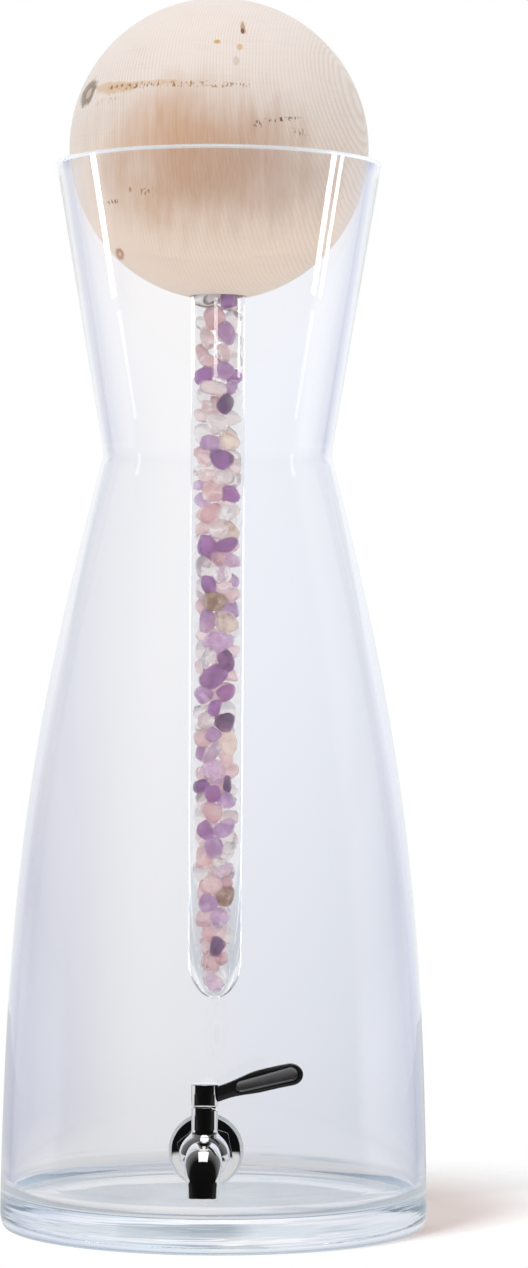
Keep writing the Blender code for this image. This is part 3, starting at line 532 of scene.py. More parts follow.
@dataclass(frozen=True)
class StonePine:
    """Pale sanded stone pine: growth rings as sheets, fine rays, a tan heart, knots and resin flecks."""

    name: str
    middle: Colour
    radius: float
    pale: Colour = (0.83, 0.745, 0.695)
    warm: Colour = (0.905, 0.72, 0.58)
    warm_heights: Pair = (10.0 * MM, -45.0 * MM)
    heart_middle: Colour = (-3.0 * MM, 0.0, -11.0 * MM)
    heart_half: Colour = (60.0 * MM, 1.0, 39.0 * MM)
    heart_fade: Pair = (0.15, 1.15)
    streak_scale: Colour = (260.0, 60.0, 26.0)
    streak_reach: Pair = (-0.15, 0.15)
    cloud_scale: float = 26.0
    cloud_reach: Pair = (-0.2, 0.2)
    heart_strength: float = 0.95
    tan: Colour = (0.635, 0.35, 0.19)
    tan_right: Colour = (0.54, 0.355, 0.265)
    tan_sides: Pair = (-30.0 * MM, 35.0 * MM)
    line: Colour = (0.66, 0.48, 0.355)
    ring_way: Colour = (0.927, -0.222, 0.302)
    ring_step: float = 1.55 * MM
    ring_tones: Stops = ((0.0, 0.0), (0.35, 0.05), (0.8, 1.0), (0.97, 0.1))
    ring_wander: Stops = ((16.0, 7.0 * MM), (90.0, 0.5 * MM))
    ray_scale: Colour = (70.0, 70.0, 1100.0)
    fibre_scale: Colour = (1500.0, 500.0, 90.0)
    fibre_pale: Colour = (0.90, 0.80, 0.74)
    fine_strength: float = 0.16
    dash_scale: Colour = (1100.0, 600.0, 420.0)
    mark_depth: float = 30.0 * MM
    grain_depth: float = 0.05 * MM

    def heart(self, recipe: Recipe, local: Socket) -> Socket:
        """Share of the tan heart: an oval with an edge that streaks and clouds make ragged."""
        streaks = recipe.noise(local, self.streak_scale, 3.0)
        cloud = recipe.noise(local, self.cloud_scale, 3.0)
        reach = recipe.oval(local, self.heart_middle, self.heart_half)
        reach = recipe.plus(reach, recipe.span(streaks, 0.25, 0.75, *self.streak_reach))
        reach = recipe.plus(reach, recipe.span(cloud, 0.25, 0.75, *self.cloud_reach))
        return recipe.span(reach, *self.heart_fade, self.heart_strength, 0.0, "SMOOTHSTEP")

    def rings(self, recipe: Recipe, local: Socket) -> tuple[Socket, Socket]:
        """Growth rings: the depth across wandering sheets, cut into steps that each end in a dark line.

        Args:
            recipe: Material being built.
            local: Place relative to the middle of the ball.

        Returns:
            Tone of the rings and their strength.
        """
        x, _, z = recipe.axes(local)
        across, back, rise = self.ring_way
        slant = recipe.span(x, -15.0 * MM, 55.0 * MM, 0.1 * rise, rise)
        slant = recipe.times(slant, recipe.span(z, -10.0 * MM, -60.0 * MM, 1.0, 0.4))
        depth = recipe.vector("DOT_PRODUCT", local, (across, back, 0.0))
        depth = recipe.plus(depth, recipe.times(slant, z))
        for scale, wander in self.ring_wander:
            depth = recipe.plus(depth, recipe.times(recipe.noise(local, scale, 2.0), wander))
        phase = recipe.calc("FRACT", recipe.calc("DIVIDE", depth, self.ring_step))
        strength = recipe.span(recipe.noise(local, 34.0, 2.0), 0.3, 0.7, 0.14, 0.46)
        for way, low, high, end in (
            (z, 20.0 * MM, -20.0 * MM, 1.5),
            (x, 25.0 * MM, 60.0 * MM, 1.6),
            (z, -5.0 * MM, -45.0 * MM, 0.55),
        ):
            strength = recipe.times(strength, recipe.span(way, low, high, 1.0, end))
        return recipe.ramp(phase, self.ring_tones), strength

    def mark_share(self, recipe: Recipe, local: Socket, ragged: Socket, mark: WoodMark) -> Socket:
        """Share of a mark: an oval on the front of the ball with a ragged edge."""
        right, up = mark.right * MM, mark.up * MM
        front = -math.sqrt(max(self.radius**2 - right**2 - up**2, 1e-8))
        half = (mark.half_width * MM, self.mark_depth, mark.half_height * MM)
        reach = recipe.plus(recipe.oval(local, (right, front, up), half, mark.tilt), ragged)
        return recipe.span(reach, 0.7, 1.1, mark.strength, 0.0)

    def make(self) -> Material:
        """Build the material."""
        recipe = Recipe(self.name)
        local = recipe.vector("SUBTRACT", recipe.space, self.middle)
        x, _, z = recipe.axes(local)
        colour = recipe.mix(recipe.span(z, *self.warm_heights), self.pale, self.warm)
        tan = recipe.mix(recipe.span(x, *self.tan_sides), self.tan, self.tan_right)
        colour = recipe.mix(self.heart(recipe, local), colour, tan)
        ring, strength = self.rings(recipe, local)
        colour = recipe.mix(recipe.times(ring, strength), colour, self.line)
        rays = recipe.noise(local, self.ray_scale, 2.0)
        colour = recipe.mix(recipe.span(rays, 0.5, 0.75, 0.0, self.fine_strength), colour, self.line)
        fibre = recipe.noise(local, self.fibre_scale, 3.0)
        colour = recipe.mix(recipe.span(fibre, 0.4, 0.75, 0.0, self.fine_strength), colour, self.fibre_pale)
        ragged = recipe.span(recipe.noise(local, 260.0, 3.0), 0.2, 0.8, -0.3, 0.3)
        dashes = recipe.span(recipe.noise(local, self.dash_scale, 2.0), 0.52, 0.62)
        for mark in WOOD_MARKS:
            share = self.mark_share(recipe, local, ragged, mark)
            share = recipe.times(share, dashes) if mark.dashes else share
            colour = recipe.mix(share, colour, mark.colour)
        recipe.surface(
            {
                "Base Color": colour,
                "Roughness": recipe.span(fibre, 0.3, 0.7, 0.5, 0.66),
                "Specular IOR Level": 0.25,
                "Sheen Weight": 0.3,
                "Sheen Roughness": 0.55,
                "Normal": recipe.bump(
                    recipe.plus(recipe.times(ring, 0.4), recipe.times(fibre, 0.6)), self.grain_depth
                ),
            }
        )
        return recipe.material


@dataclass(frozen=True)
class Metal:
    """Polished or brushed metal with faint hairline wear in its shine."""

    name: str
    colour: Colour
    rough: Pair
    hairline: float = 0.0

    def make(self) -> Material:
        """Build the material."""
        recipe = Recipe(self.name)
        wear = recipe.noise(recipe.space, 400.0, 4.0)
        values = {
            "Base Color": self.colour,
            "Metallic": 1.0,
            "Roughness": recipe.span(wear, 0.3, 0.75, *self.rough),
        }
        if self.hairline > 0.0:
            lines = recipe.noise(recipe.space, (300.0, 6000.0, 300.0), 2.0)
            values["Normal"] = recipe.bump(lines, self.hairline)
        recipe.surface(values)
        return recipe.material


@dataclass(frozen=True)
class Moulding:
    """Moulded plastic or rubber with a fine grain and uneven shine."""

    name: str
    colour: Colour
    rough: Pair
    grain: float
    clear: float = 0.0
    shine: float = 0.5

    def make(self) -> Material:
        """Build the material."""
        recipe = Recipe(self.name)
        blotch = recipe.noise(recipe.space, 160.0, 3.0)
        pale = tuple(min(1.0, 1.18 * part + 0.004) for part in self.colour)
        recipe.surface(
            {
                "Base Color": recipe.mix(recipe.span(blotch, 0.3, 0.7), self.colour, pale),
                "Roughness": recipe.span(blotch, 0.3, 0.7, *self.rough),
                "Specular IOR Level": self.shine,
                "Transmission Weight": self.clear,
                "Normal": recipe.bump(recipe.noise(recipe.space, 2600.0, 2.0), self.grain),
            }
        )
        return recipe.material


@dataclass(frozen=True)
class TumbledStone:
    """Tumbled quartz that lets light through, with cloudy zones of two tones and white veils."""

    name: str
    slot: Slot
    share: float
    pale: Colour
    deep: Colour
    clear: float
    frost: float
    veil: float
    veil_tone: Colour = (0.95, 0.92, 0.92)
    film_tone: Colour = (1.0, 0.98, 0.98)
    film_share: float = 0.3
    dents: float = 0.45 * MM
    refraction: float = 1.34
    bends: float = 7.5

    def make(self) -> Material:
        """Build the material, which reads each stone's own tone from the mesh."""
        recipe = Recipe(self.name)
        tone = recipe.node("Attribute", attribute_name="tone").outputs["Fac"]
        zones = recipe.noise(recipe.space, 210.0, 3.0, 0.6)
        depth = recipe.plus(tone, recipe.span(zones, 0.3, 0.7, -0.5, 0.5))
        colour = recipe.ramp(depth, ((0.05, self.pale), (0.95, self.deep)))
        cracks = recipe.noise(recipe.space, (420.0, 420.0, 160.0), 4.0, 0.6)
        colour = recipe.mix(recipe.span(cracks, 0.54, 0.64, 0.0, self.veil), colour, self.veil_tone)
        skin = recipe.noise(recipe.space, 520.0, 2.0)
        shader = recipe.surface(
            {
                "Base Color": colour,
                "Roughness": recipe.span(skin, 0.3, 0.7, 0.8 * self.frost, 1.2 * self.frost),
                "IOR": self.refraction,
                "Transmission Weight": self.clear,
                "Coat Weight": 0.7,
                "Coat Roughness": 0.06,
                "Normal": recipe.bump(recipe.plus(zones, recipe.times(skin, 0.3)), self.dents),
            }
        )
        film = recipe.mix(self.film_share, self.film_tone, colour)
        recipe.let_lamps_through(shader, film, self.bends, film)
        return recipe.material


def dress(piece: Piece, finish: Material, slot: Slot, body: Body, *nodes: str) -> None:
    """Give a new piece its finish and the body it rides on, and hide the CAD nodes it stands for; its slot is
    not used.
    """
    piece.data.materials.clear()
    piece.data.materials.append(finish)
    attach(piece, body.value)
    if nodes:
        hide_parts(*nodes)
    LOG.info("%s: %d faces", piece.name, len(piece.data.polygons))


def repaint(finish: Material, *nodes: str) -> None:
    """Give carried-over CAD nodes a finish."""
    for name in nodes:
        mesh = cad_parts[name].data
        mesh.materials.clear()
        mesh.materials.append(finish)
        LOG.info("%s: carried over", name)


def tap_place(height: float) -> Place:
    """Frame of the tap: local Z runs forward from the glass axis, local Y up, at a height."""

    def place(points: Array) -> Array:
        """Turn local points into the row frame."""
        return np.stack([points[..., 0], -points[..., 2], points[..., 1] + height], axis=-1)

    return place


def upright_place(forward: float, height: float) -> Place:
    """Frame that stands upright at a distance in front of the glass axis."""

    def place(points: Array) -> Array:
        """Shift local points into the row frame."""
        return points + np.array([0.0, -forward, height])

    return place


@dataclass
class Carafe:
    """Glass vessel: flank curve, waist bend, straight flared neck, round lip and a thick flat base."""

    height: float = 497.3 * MM
    base_radius: float = 99.8 * MM
    foot_edge: float = 7.5 * MM
    foot_inset: float = 2.6 * MM
    floor: float = 15.0 * MM
    fillet: float = 6.5 * MM
    waist_radius: float = 53.8 * MM
    waist_height: float = 361.0 * MM
    waist_bend: float = 22.0 * MM
    rim_radius: float = 76.2 * MM
    wall: float = 4.5 * MM
    rim_wall: float = 5.9 * MM
    lip_rise: float = 1.6 * MM
    lip_fullness: float = 3.0
    shoulder: float = math.radians(14.8)
    draft: float = math.radians(1.1)
    foot_pull: float = 124.0 * MM
    shoulder_pull: float = 148.0 * MM
    tap_height: float = 47.0 * MM
    hole_radius: float = 8.45 * MM
    hole_reach: float = 30.0 * MM
    steps: int = 192
    flank_steps: int = 70
    neck_steps: int = 24
    edge_steps: int = 12
    lip_steps: int = 26
    floor_steps: int = 14

    def flare(self) -> float:
        """Angle of the neck line from the rim that just touches the waist bend."""
        out = self.rim_radius - self.waist_radius - self.waist_bend
        rise = self.height - self.waist_height
        return math.atan2(out, rise) + math.asin(self.waist_bend / math.hypot(out, rise))

    def lip_reach(self) -> float:
        """Height of the top of the lip above the end of the outside line."""
        tilt = 0.5 * self.rim_wall * math.sin(self.flare())
        power = self.lip_fullness / (self.lip_fullness - 1.0)
        return tilt + (tilt**power + (self.lip_rise * math.cos(self.flare())) ** power) ** (1.0 / power)

    def outside(self) -> Array:
        """Half section of the outside: a cubic curve up the flank, an arc at the waist, a line up the neck.

        Returns:
            Points as (radius, height) from the foot to the lip.
        """
        flare = self.flare()
        foot = np.array([self.base_radius, self.foot_edge])
        bend = np.linspace(-self.shoulder, flare, self.neck_steps)
        waist = pairs(
            self.waist_radius + self.waist_bend * (1.0 - np.cos(bend)),
            self.waist_height + self.waist_bend * np.sin(bend),
        )
        lower = foot + self.foot_pull * np.array([-math.sin(self.draft), math.cos(self.draft)])
        upper = waist[0] + self.shoulder_pull * np.array([math.sin(self.shoulder), -math.cos(self.shoulder)])
        share = np.linspace(0.0, 1.0, self.flank_steps)[:, None]
        rest = 1.0 - share
        flank = rest**3 * foot + 3 * rest**2 * share * lower
        flank = flank + 3 * rest * share**2 * upper + share**3 * waist[0]
        lip_height = self.height - self.lip_reach()
        lip = np.array([self.rim_radius - (self.height - lip_height) * math.tan(flare), lip_height])
        neck = waist[-1] + np.linspace(0.0, 1.0, self.neck_steps)[1:, None] * (lip - waist[-1])
        return np.concatenate([flank[:-1], waist, neck])

    def inside(self, outside: Array) -> Array:
        """Half section of the inside: the outside moved in by a wall that grows up the neck."""
        along = np.gradient(outside, axis=0)
        along /= np.linalg.norm(along, axis=1)[:, None]
        inward = pairs(-along[:, 1], along[:, 0])
        wall = np.interp(outside[:, 1], [self.waist_height, outside[-1, 1]], [self.wall, self.rim_wall])
        return outside + inward * wall[:, None]

    def line(self, inner: bool) -> Array:
        """Half section of the inside or the outside."""
        return self.inside(self.outside()) if inner else self.outside()

    def side(self, height: Array, inner: bool = False) -> Array:
        """Radius of the outside or the inside at heights below the waist."""
        line = self.line(inner)
        return np.interp(height, line[:, 1], line[:, 0])

    def section(self) -> Array:
        """Closed half section from the middle of the underside over the lip to the middle of the floor.

        Returns:
            Points as (radius, height).
        """
        outside, inside = self.line(False), self.line(True)
        quarter = quarter_turn(self.edge_steps)
        edge_out = self.base_radius - self.foot_inset * (1.0 - np.sin(quarter))
        edge = pairs(edge_out, self.foot_edge * (1.0 - np.cos(quarter)))
        middle = 0.5 * (outside[-1] + inside[-1])
        across = outside[-1] - middle
        upward = np.array([-across[1], across[0]]) * self.lip_rise / np.linalg.norm(across)
        half = np.linspace(0.0, math.pi, self.lip_steps)[1:-1, None]
        level = np.sign(np.cos(half)) * np.abs(np.cos(half)) ** (2.0 / self.lip_fullness)
        lip = middle + across * level + upward * np.sin(half) ** (2.0 / self.lip_fullness)
        turn_height = self.floor + self.fillet
        turn_radius = float(np.interp(turn_height, inside[:, 1], inside[:, 0]))
        down = inside[inside[:, 1] > turn_height + 0.5 * MM][::-1]
        fillet_in = turn_radius - self.fillet * (1.0 - np.cos(quarter))
        fillet = pairs(fillet_in, turn_height - self.fillet * np.sin(quarter))
        reach = np.linspace(1.0, 0.0, self.floor_steps)[:, None]
        floor = fillet[-1] * reach + np.array([0.0, self.floor]) * (1.0 - reach)
        base = edge[0] * reach[::-1] * np.array([1.0, 0.0])
        return np.concatenate([base[:-1], edge, outside[1:], lip, down, fillet, floor[1:]])

    def build(self) -> Piece:
        """Build the glass with its tap hole and dress it.

        Returns:
            The glass.
        """
        glass = turned(self.section(), self.steps).piece("carafe_glass", 60.0)
        wall, reach = float(self.side(self.tap_height)), self.hole_reach
        hole = round_bar(self.hole_radius, wall - reach, wall + reach, tap_place(self.tap_height))
        combine(glass, hole, Join.CUT)
        crisp(glass, 45.0)
        finish = ClearGlass(
            "clear_carafe_glass",
            tint=(0.985, 0.988, 0.995),
            lamp_tint=(0.992, 0.993, 0.995),
            foot_tint=(0.67, 0.575, 0.555),
            lost_tint=(0.70, 0.76, 0.81),
            ripple=0.25 * MM,
            lip=self.height - self.lip_rise,
            bends=7.5,
        )
        dress(glass, finish.make(), Slot.CARAFE_GLASS, Body.CARAFE, "glass_carafe")
        return glass


STONES = (
    TumbledStone(
        "deep_amethyst", Slot.AMETHYST, 0.01, (0.46, 0.19, 0.50), (0.12, 0.025, 0.13), 0.75, 0.04, 0.1
    ),
    TumbledStone(
        "pale_amethyst", Slot.AMETHYST, 0.09, (0.85, 0.68, 0.82), (0.49, 0.27, 0.53), 0.7, 0.08, 0.3
    ),
    TumbledStone(
        "rose_quartz", Slot.ROSE_QUARTZ, 0.52, (0.94, 0.80, 0.79), (0.77, 0.51, 0.52), 0.75, 0.1, 0.25
    ),
    TumbledStone(
        "rock_crystal", Slot.ROCK_CRYSTAL, 0.38, (0.97, 0.93, 0.915), (0.91, 0.82, 0.80), 0.9, 0.03, 0.3
    ),
    TumbledStone(
        "smoky_quartz", Slot.SMOKY_QUARTZ, 0.0, (0.92, 0.80, 0.70), (0.28, 0.13, 0.06), 0.65, 0.08, 0.15
    ),
)


class StoneKind(Enum):
    """Kinds of stone that stand out at the front of the vial, by their place in the list of stones."""

    DEEP = 0
    PALE = 1
    CRYSTAL = 3
    SMOKY = 4


@dataclass(frozen=True)
class Accent:
    """Strongly coloured stone at the front of the vial: its place in millimetres, kind and tone."""

    right: float
    up: float
    kind: StoneKind
    tone: float


DEEP, PALE, CRYSTAL, SMOKY = StoneKind
ACCENTS = tuple(
    Accent(*row)
    for row in (
        (7.0, 430.0, DEEP, 0.0), (5.0, 422.0, PALE, 0.8), (-8.0, 400.0, DEEP, 0.1),
        (-2.0, 400.0, PALE, 0.9), (6.0, 401.0, DEEP, 0.1), (6.0, 395.0, PALE, 0.7),
        (5.0, 386.0, DEEP, 0.9), (8.0, 374.0, SMOKY, 0.1), (6.0, 366.0, PALE, 0.9),
        (-1.0, 354.0, DEEP, 0.4), (-7.0, 345.0, PALE, 0.4), (8.0, 342.0, DEEP, 0.0),
        (3.0, 333.0, CRYSTAL, 0.0), (6.0, 323.0, SMOKY, 0.3), (10.0, 321.0, DEEP, 0.3),
        (-7.0, 315.0, DEEP, 0.1), (5.0, 309.0, PALE, 0.3), (-1.0, 300.0, DEEP, 0.1),
        (-3.0, 292.0, SMOKY, 0.8), (-3.0, 285.0, PALE, 0.9), (7.0, 286.0, SMOKY, 0.3),
        (8.0, 273.0, PALE, 0.6), (3.0, 268.0, DEEP, 0.5), (-5.0, 262.0, CRYSTAL, 0.0),
        (3.0, 261.0, DEEP, 0.2), (-5.0, 252.0, PALE, 0.7), (4.0, 253.0, DEEP, 0.0),
        (-5.0, 244.0, DEEP, 0.1), (3.0, 243.0, DEEP, 0.8), (-2.0, 230.0, PALE, 0.9),
        (4.0, 224.0, SMOKY, 0.0), (-5.0, 207.0, DEEP, 0.6), (5.0, 209.0, DEEP, 0.8),
        (-1.0, 198.0, DEEP, 0.0), (4.0, 195.0, PALE, 0.8), (-5.0, 184.0, DEEP, 0.0),
        (5.0, 152.0, SMOKY, 0.8), (-4.0, 150.0, PALE, 0.9), (6.0, 144.0, PALE, 0.5),
        (0.0, 128.0, DEEP, 0.7),
    )
)


@dataclass
class Stopper:
    """Wooden ball, the vial that hangs from it and the stones inside."""

    ball_height: float = 503.355 * MM
    ball_radius: float = 70.0 * MM
    flat_radius: float = 14.4 * MM
    bore_radius: float = 12.9 * MM
    bore_depth: float = 35.6 * MM
    bore_edge: float = 0.4 * MM
    vial_mouth: float = 466.852 * MM
    vial_tip: float = 105.852 * MM
    mouth_radius: float = 12.6 * MM
    tip_radius: float = 12.5 * MM
    tip_length: float = 17.9 * MM
    mouth_bore: float = 11.9 * MM
    cup_bore: float = 11.0 * MM
    cup_length: float = 102.0 * MM
    cup_fullness: float = 2.8
    tip_wall: float = 3.0 * MM
    plug_depth: float = 12.0 * MM
    stone_count: int = 190
    stone_radii: Pair = (3.5 * MM, 5.8 * MM)
    stone_rows: int = 11
    stone_columns: int = 18
    stone_cuts: int = 13
    cut_depths: Pair = (0.66, 1.02)
    cut_power: float = 12.0
    least_cut: float = 0.3
    longest_reach: float = 1.25
    stone_widths: Pair = (1.0, 1.5)
    stone_flats: Pair = (0.68, 0.95)
    settle_steps: int = 500
    settle_push: float = 0.3
    settle_start: float = 0.6
    settle_gap: float = 0.1 * MM
    least_room: float = 0.2 * MM
    plug_gap: float = 0.5 * MM
    wall_gap: float = 0.12 * MM
    accent_front: float = 6.0 * MM
    seed: int = 5

    def flat_height(self) -> float:
        """Height of the flat under the ball."""
        return self.ball_height - math.sqrt(self.ball_radius**2 - self.flat_radius**2)

    def cup_top(self) -> float:
        """Height where the vial's cup meets its straight bore."""
        return self.vial_tip + self.tip_wall + self.cup_length

    def build_ball(self) -> None:
        """Build the ball: a circle arc from the top to the flat, then the bore, carried round the axis."""
        flat, top = self.flat_height(), self.flat_height() + self.bore_depth
        swing = np.linspace(0.0, math.pi - math.asin(self.flat_radius / self.ball_radius), 110)
        shell = pairs(self.ball_radius * np.sin(swing), self.ball_height + self.ball_radius * np.cos(swing))
        corners = (
            (shell[-1, 0] - 0.1 * MM, flat, 0.0),
            (self.bore_radius, flat, self.bore_edge),
            (self.bore_radius, top, 0.0),
            (0.0, top, 0.0),
        )
        ball = turned(np.concatenate([shell, rounded(corners)]), 144).piece("stopper_ball", 35.0)
        finish = StonePine("stone_pine", (0.0, 0.0, self.ball_height), self.ball_radius).make()
        dress(ball, finish, Slot.STONE_PINE, Body.STOPPER, "wood_ball")

    def bore_at(self, height: Array) -> Array:
        """Inside radius of the vial: a long cup, share ** p + radius ** p = 1, then a slight taper."""
        low = self.cup_top()
        straight = np.interp(height, [low, self.flat_height()], [self.cup_bore, self.mouth_bore])
        share = np.clip((low - height) / self.cup_length, 0.0, 1.0)
        cup = self.cup_bore * (1.0 - share**self.cup_fullness) ** (1.0 / self.cup_fullness)
        return np.where(height < low, cup, straight)

    def build_vial(self) -> Piece:
        """Build the vial: round tip, straight outside, round lip and tapered bore, carried round the axis.

        Returns:
            The vial.
        """
        quarter = quarter_turn(36)
        power = 2.0 / self.cup_fullness
        tip = self.vial_tip + self.tip_length
        flat = self.flat_height()
        dome = pairs(self.tip_radius * np.sin(quarter), tip - self.tip_length * np.cos(quarter))
        cup = pairs(
            self.cup_bore * np.sin(quarter) ** power,
            self.cup_top() - self.cup_length * np.abs(np.cos(quarter)) ** power,
        )
        share = np.linspace(0.0, 1.0, 40)[1:, None]
        outer = dome[-1] + share * (np.array([self.mouth_radius, flat]) - dome[-1])
        inner = cup[-1] + share * (np.array([self.mouth_bore, flat]) - cup[-1])
        wall = 0.5 * (self.mouth_radius - self.mouth_bore)
        turn = np.linspace(0.0, math.pi, 12)
        lip_out = self.mouth_bore + wall + wall * np.cos(turn)
        lip = pairs(lip_out, self.vial_mouth - wall + wall * np.sin(turn))
        section = np.concatenate([dome, outer, lip, inner[::-1], cup[::-1]])
        vial = turned(section, 96).piece("stone_vial", 60.0)
        finish = ClearGlass(
            "clear_vial_glass",
            tint=(0.985, 0.988, 0.99),
            lamp_tint=(0.995, 0.995, 0.995),
            foot_tint=(0.995, 0.995, 0.995),
            lost_tint=(0.93, 0.94, 0.95),
            ripple=0.03 * MM,
            lip=1.0,
            bends=5.5,
        )
        dress(vial, finish.make(), Slot.VIAL_GLASS, Body.STOPPER, "gem_vial")
        return vial

    def pack(self, rng: np.random.Generator) -> tuple[Array, Array]:
        """Settle balls in the vial: pairs that overlap push each other apart and the wall pushes them in.

        Args:
            rng: Source of the start places and sizes.

        Returns:
            Middles and radii of the settled balls.
        """
        count = self.stone_count
        floor = self.vial_tip + self.tip_wall
        roof = self.vial_mouth - self.plug_depth - self.plug_gap
        radius = rng.uniform(*self.stone_radii, count)
        height = floor + (roof - floor) * (np.arange(count) + 0.5) / count
        angle = rng.uniform(0.0, FULL_TURN, count)
        spots = rings(self.settle_start * self.bore_at(height), angle, height)
        for _ in range(self.settle_steps):
            apart = spots[:, None, :] - spots[None, :, :]
            distance = np.linalg.norm(apart, axis=2) + np.eye(count)
            lack = np.clip(radius[:, None] + radius[None, :] - distance, 0.0, None) * (1.0 - np.eye(count))
            push = (apart / distance[:, :, None] * lack[:, :, None]).sum(axis=1)
            spots = spots + self.settle_push * push
            room = self.bore_at(spots[:, 2]) - radius - self.settle_gap
            room = np.maximum(room, self.least_room)
            reach = np.linalg.norm(spots[:, :2], axis=1) + 1e-9
            spots[:, :2] *= np.minimum(1.0, room / reach)[:, None]
            spots[:, 2] = np.clip(spots[:, 2], floor + radius, roof - radius)
        return spots, radius

    def set_accents(self, spots: Array, kinds: Array, tones: Array) -> None:
        """Give the front stone nearest to each accent that accent's kind and tone.

        Args:
            spots: Middles of the stones.
            kinds: Kind of each stone, changed in place.
            tones: Tone of each stone, changed in place.
        """
        free = np.ones(len(spots), dtype=bool)
        for accent in ACCENTS:
            aside = spots - np.array([accent.right * MM, -self.accent_front, accent.up * MM])
            nearest = int(np.argmin(np.linalg.norm(aside, axis=1) + np.where(free, 0.0, 1.0)))
            free[nearest] = False
            kinds[nearest] = accent.kind.value
            tones[nearest] = accent.tone

    def shape_stones(self, rng: np.random.Generator, spots: Array, radius: Array) -> Array:
        """Shape the stones: each is a ball cut by planes whose cuts are eased into each other.

        Along a direction n the surface lies at (sum over planes of (n.p / d) ** 12) ** (-1 / 12), which is a
        polyhedron with rounded edges. Each stone is turned, stretched and held inside the bore.

        Args:
            rng: Source of the cuts, stretches and turns.
            spots: Middles of the stones.
            radius: Their radii.

        Returns:
            Points of each stone: a grid of directions, then its two poles.
        """
        count, power = self.stone_count, self.cut_power
        tilt = np.linspace(0.0, math.pi, self.stone_rows + 2)[1:-1, None]
        ways = rings(np.sin(tilt), full_turn(self.stone_columns), np.cos(tilt)).reshape(-1, 3)
        ways = np.concatenate([ways, [[0.0, 0.0, 1.0], [0.0, 0.0, -1.0]]])
        cuts = rng.normal(size=(count, self.stone_cuts, 3))
        cuts /= np.linalg.norm(cuts, axis=2)[:, :, None]
        depth = rng.uniform(*self.cut_depths, (count, self.stone_cuts))
        facing = np.clip(np.einsum("vk,spk->svp", ways, cuts), 0.0, None) / depth[:, None, :]
        reach = ((facing**power).sum(axis=2) + self.least_cut) ** (-1.0 / power)
        reach = np.minimum(reach, self.longest_reach)
        wide = rng.uniform(*self.stone_widths, count)
        flat = rng.uniform(*self.stone_flats, count)
        stretch = np.stack([wide, np.ones(count), flat], axis=1)
        frames = np.linalg.qr(rng.normal(size=(count, 3, 3)))[0]
        local = ways[None] * (reach * radius[:, None])[:, :, None] * stretch[:, None, :]
        points = np.einsum("skj,svj->svk", frames, local) + spots[:, None, :]
        room = self.bore_at(points[:, :, 2]) - self.wall_gap
        out = np.linalg.norm(points[:, :, :2], axis=2)
        points[:, :, :2] *= np.minimum(1.0, np.maximum(room, 0.0) / np.maximum(out, 1e-6))[:, :, None]
        floor = self.vial_tip + self.tip_wall + 0.2 * MM
        points[:, :, 2] = np.clip(points[:, :, 2], floor, self.vial_mouth - self.plug_depth - 0.1 * MM)
        return points

    def build_stones(self) -> list[Piece]:
        """Build the stones and sort them into kinds.

        Returns:
            One piece for each kind of stone.
        """
        rng = np.random.default_rng(self.seed)
        spots, radius = self.pack(rng)
        points = self.shape_stones(rng, spots, radius)
        kinds = rng.choice(len(STONES), self.stone_count, p=[stone.share for stone in STONES])
        tones = rng.uniform(0.0, 1.0, self.stone_count)
        self.set_accents(spots, kinds, tones)
        layers = sorted(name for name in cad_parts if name.startswith("gem_layer"))
        pieces: list[Piece] = []
        for kind, stone in enumerate(STONES):
            chosen = np.flatnonzero(kinds == kind)
            shell = Shell()
            for group in points[chosen]:
                shell.add(group[:-2].reshape(self.stone_rows, self.stone_columns, 3), group[-2:])
            piece = shell.piece("stones_" + stone.name, 70.0)
            tone = piece.data.attributes.new("tone", "FLOAT", "POINT")
            tone.data.foreach_set("value", np.repeat(tones[chosen], points.shape[1]))
            stands_for = () if pieces else layers
            dress(piece, stone.make(), stone.slot, Body.STOPPER, *stands_for)
            pieces.append(piece)
        return pieces

    def build(self) -> tuple[Piece, list[Piece]]:
        """Build the ball, the vial and the stones.

        Returns:
            The vial and the groups of stones.
        """
        self.build_ball()
        soft = Moulding("plug_silicone", (0.80, 0.80, 0.78), (0.4, 0.6), 0.02 * MM).make()
        repaint(soft, "vial_plug", "vial_seal_ring")
        return self.build_vial(), self.build_stones()


CHROME = Metal("polished_chrome", (0.93, 0.93, 0.94), (0.015, 0.05))
STEEL = Metal("turned_steel", (0.62, 0.62, 0.63), (0.2, 0.32), 0.01 * MM)
DARK_STEEL = Metal("dark_steel", (0.16, 0.16, 0.17), (0.3, 0.45))
BRASS = Metal("brass", (0.80, 0.62, 0.32), (0.18, 0.3))
SATIN_GREY = Metal("satin_grey", (0.3, 0.3, 0.31), (0.3, 0.4), 0.012 * MM)
GLOSS_BLACK = Moulding("gloss_black", (0.006, 0.006, 0.007), (0.14, 0.22), 0.004 * MM, shine=0.2)
BLACK_RUBBER = Moulding("black_rubber", (0.02, 0.02, 0.02), (0.5, 0.7), 0.02 * MM)
CLEAR_SILICONE = Moulding("clear_silicone", (0.74, 0.76, 0.78), (0.3, 0.45), 0.02 * MM, clear=0.55)


def hexagon(turn: Array, flats: float, start: float) -> Array:
    """Distance to a six-sided outline with softened corners along each direction.

    The six sides, each at half the width across flats, blend as (sum of (n.d / half) ** 60) ** (-1 / 60).

    Args:
        turn: Directions in radians.
        flats: Width across flats.
        start: Direction of the first corner.

    Returns:
        The distance along each direction.
    """
    sides = start + math.pi / 6.0 + np.arange(6) * math.pi / 3.0
    facing = np.clip(np.cos(turn[:, None] - sides[None, :]), 0.0, None) / (0.5 * flats)
    return (facing**60).sum(axis=1) ** (-1.0 / 60.0)


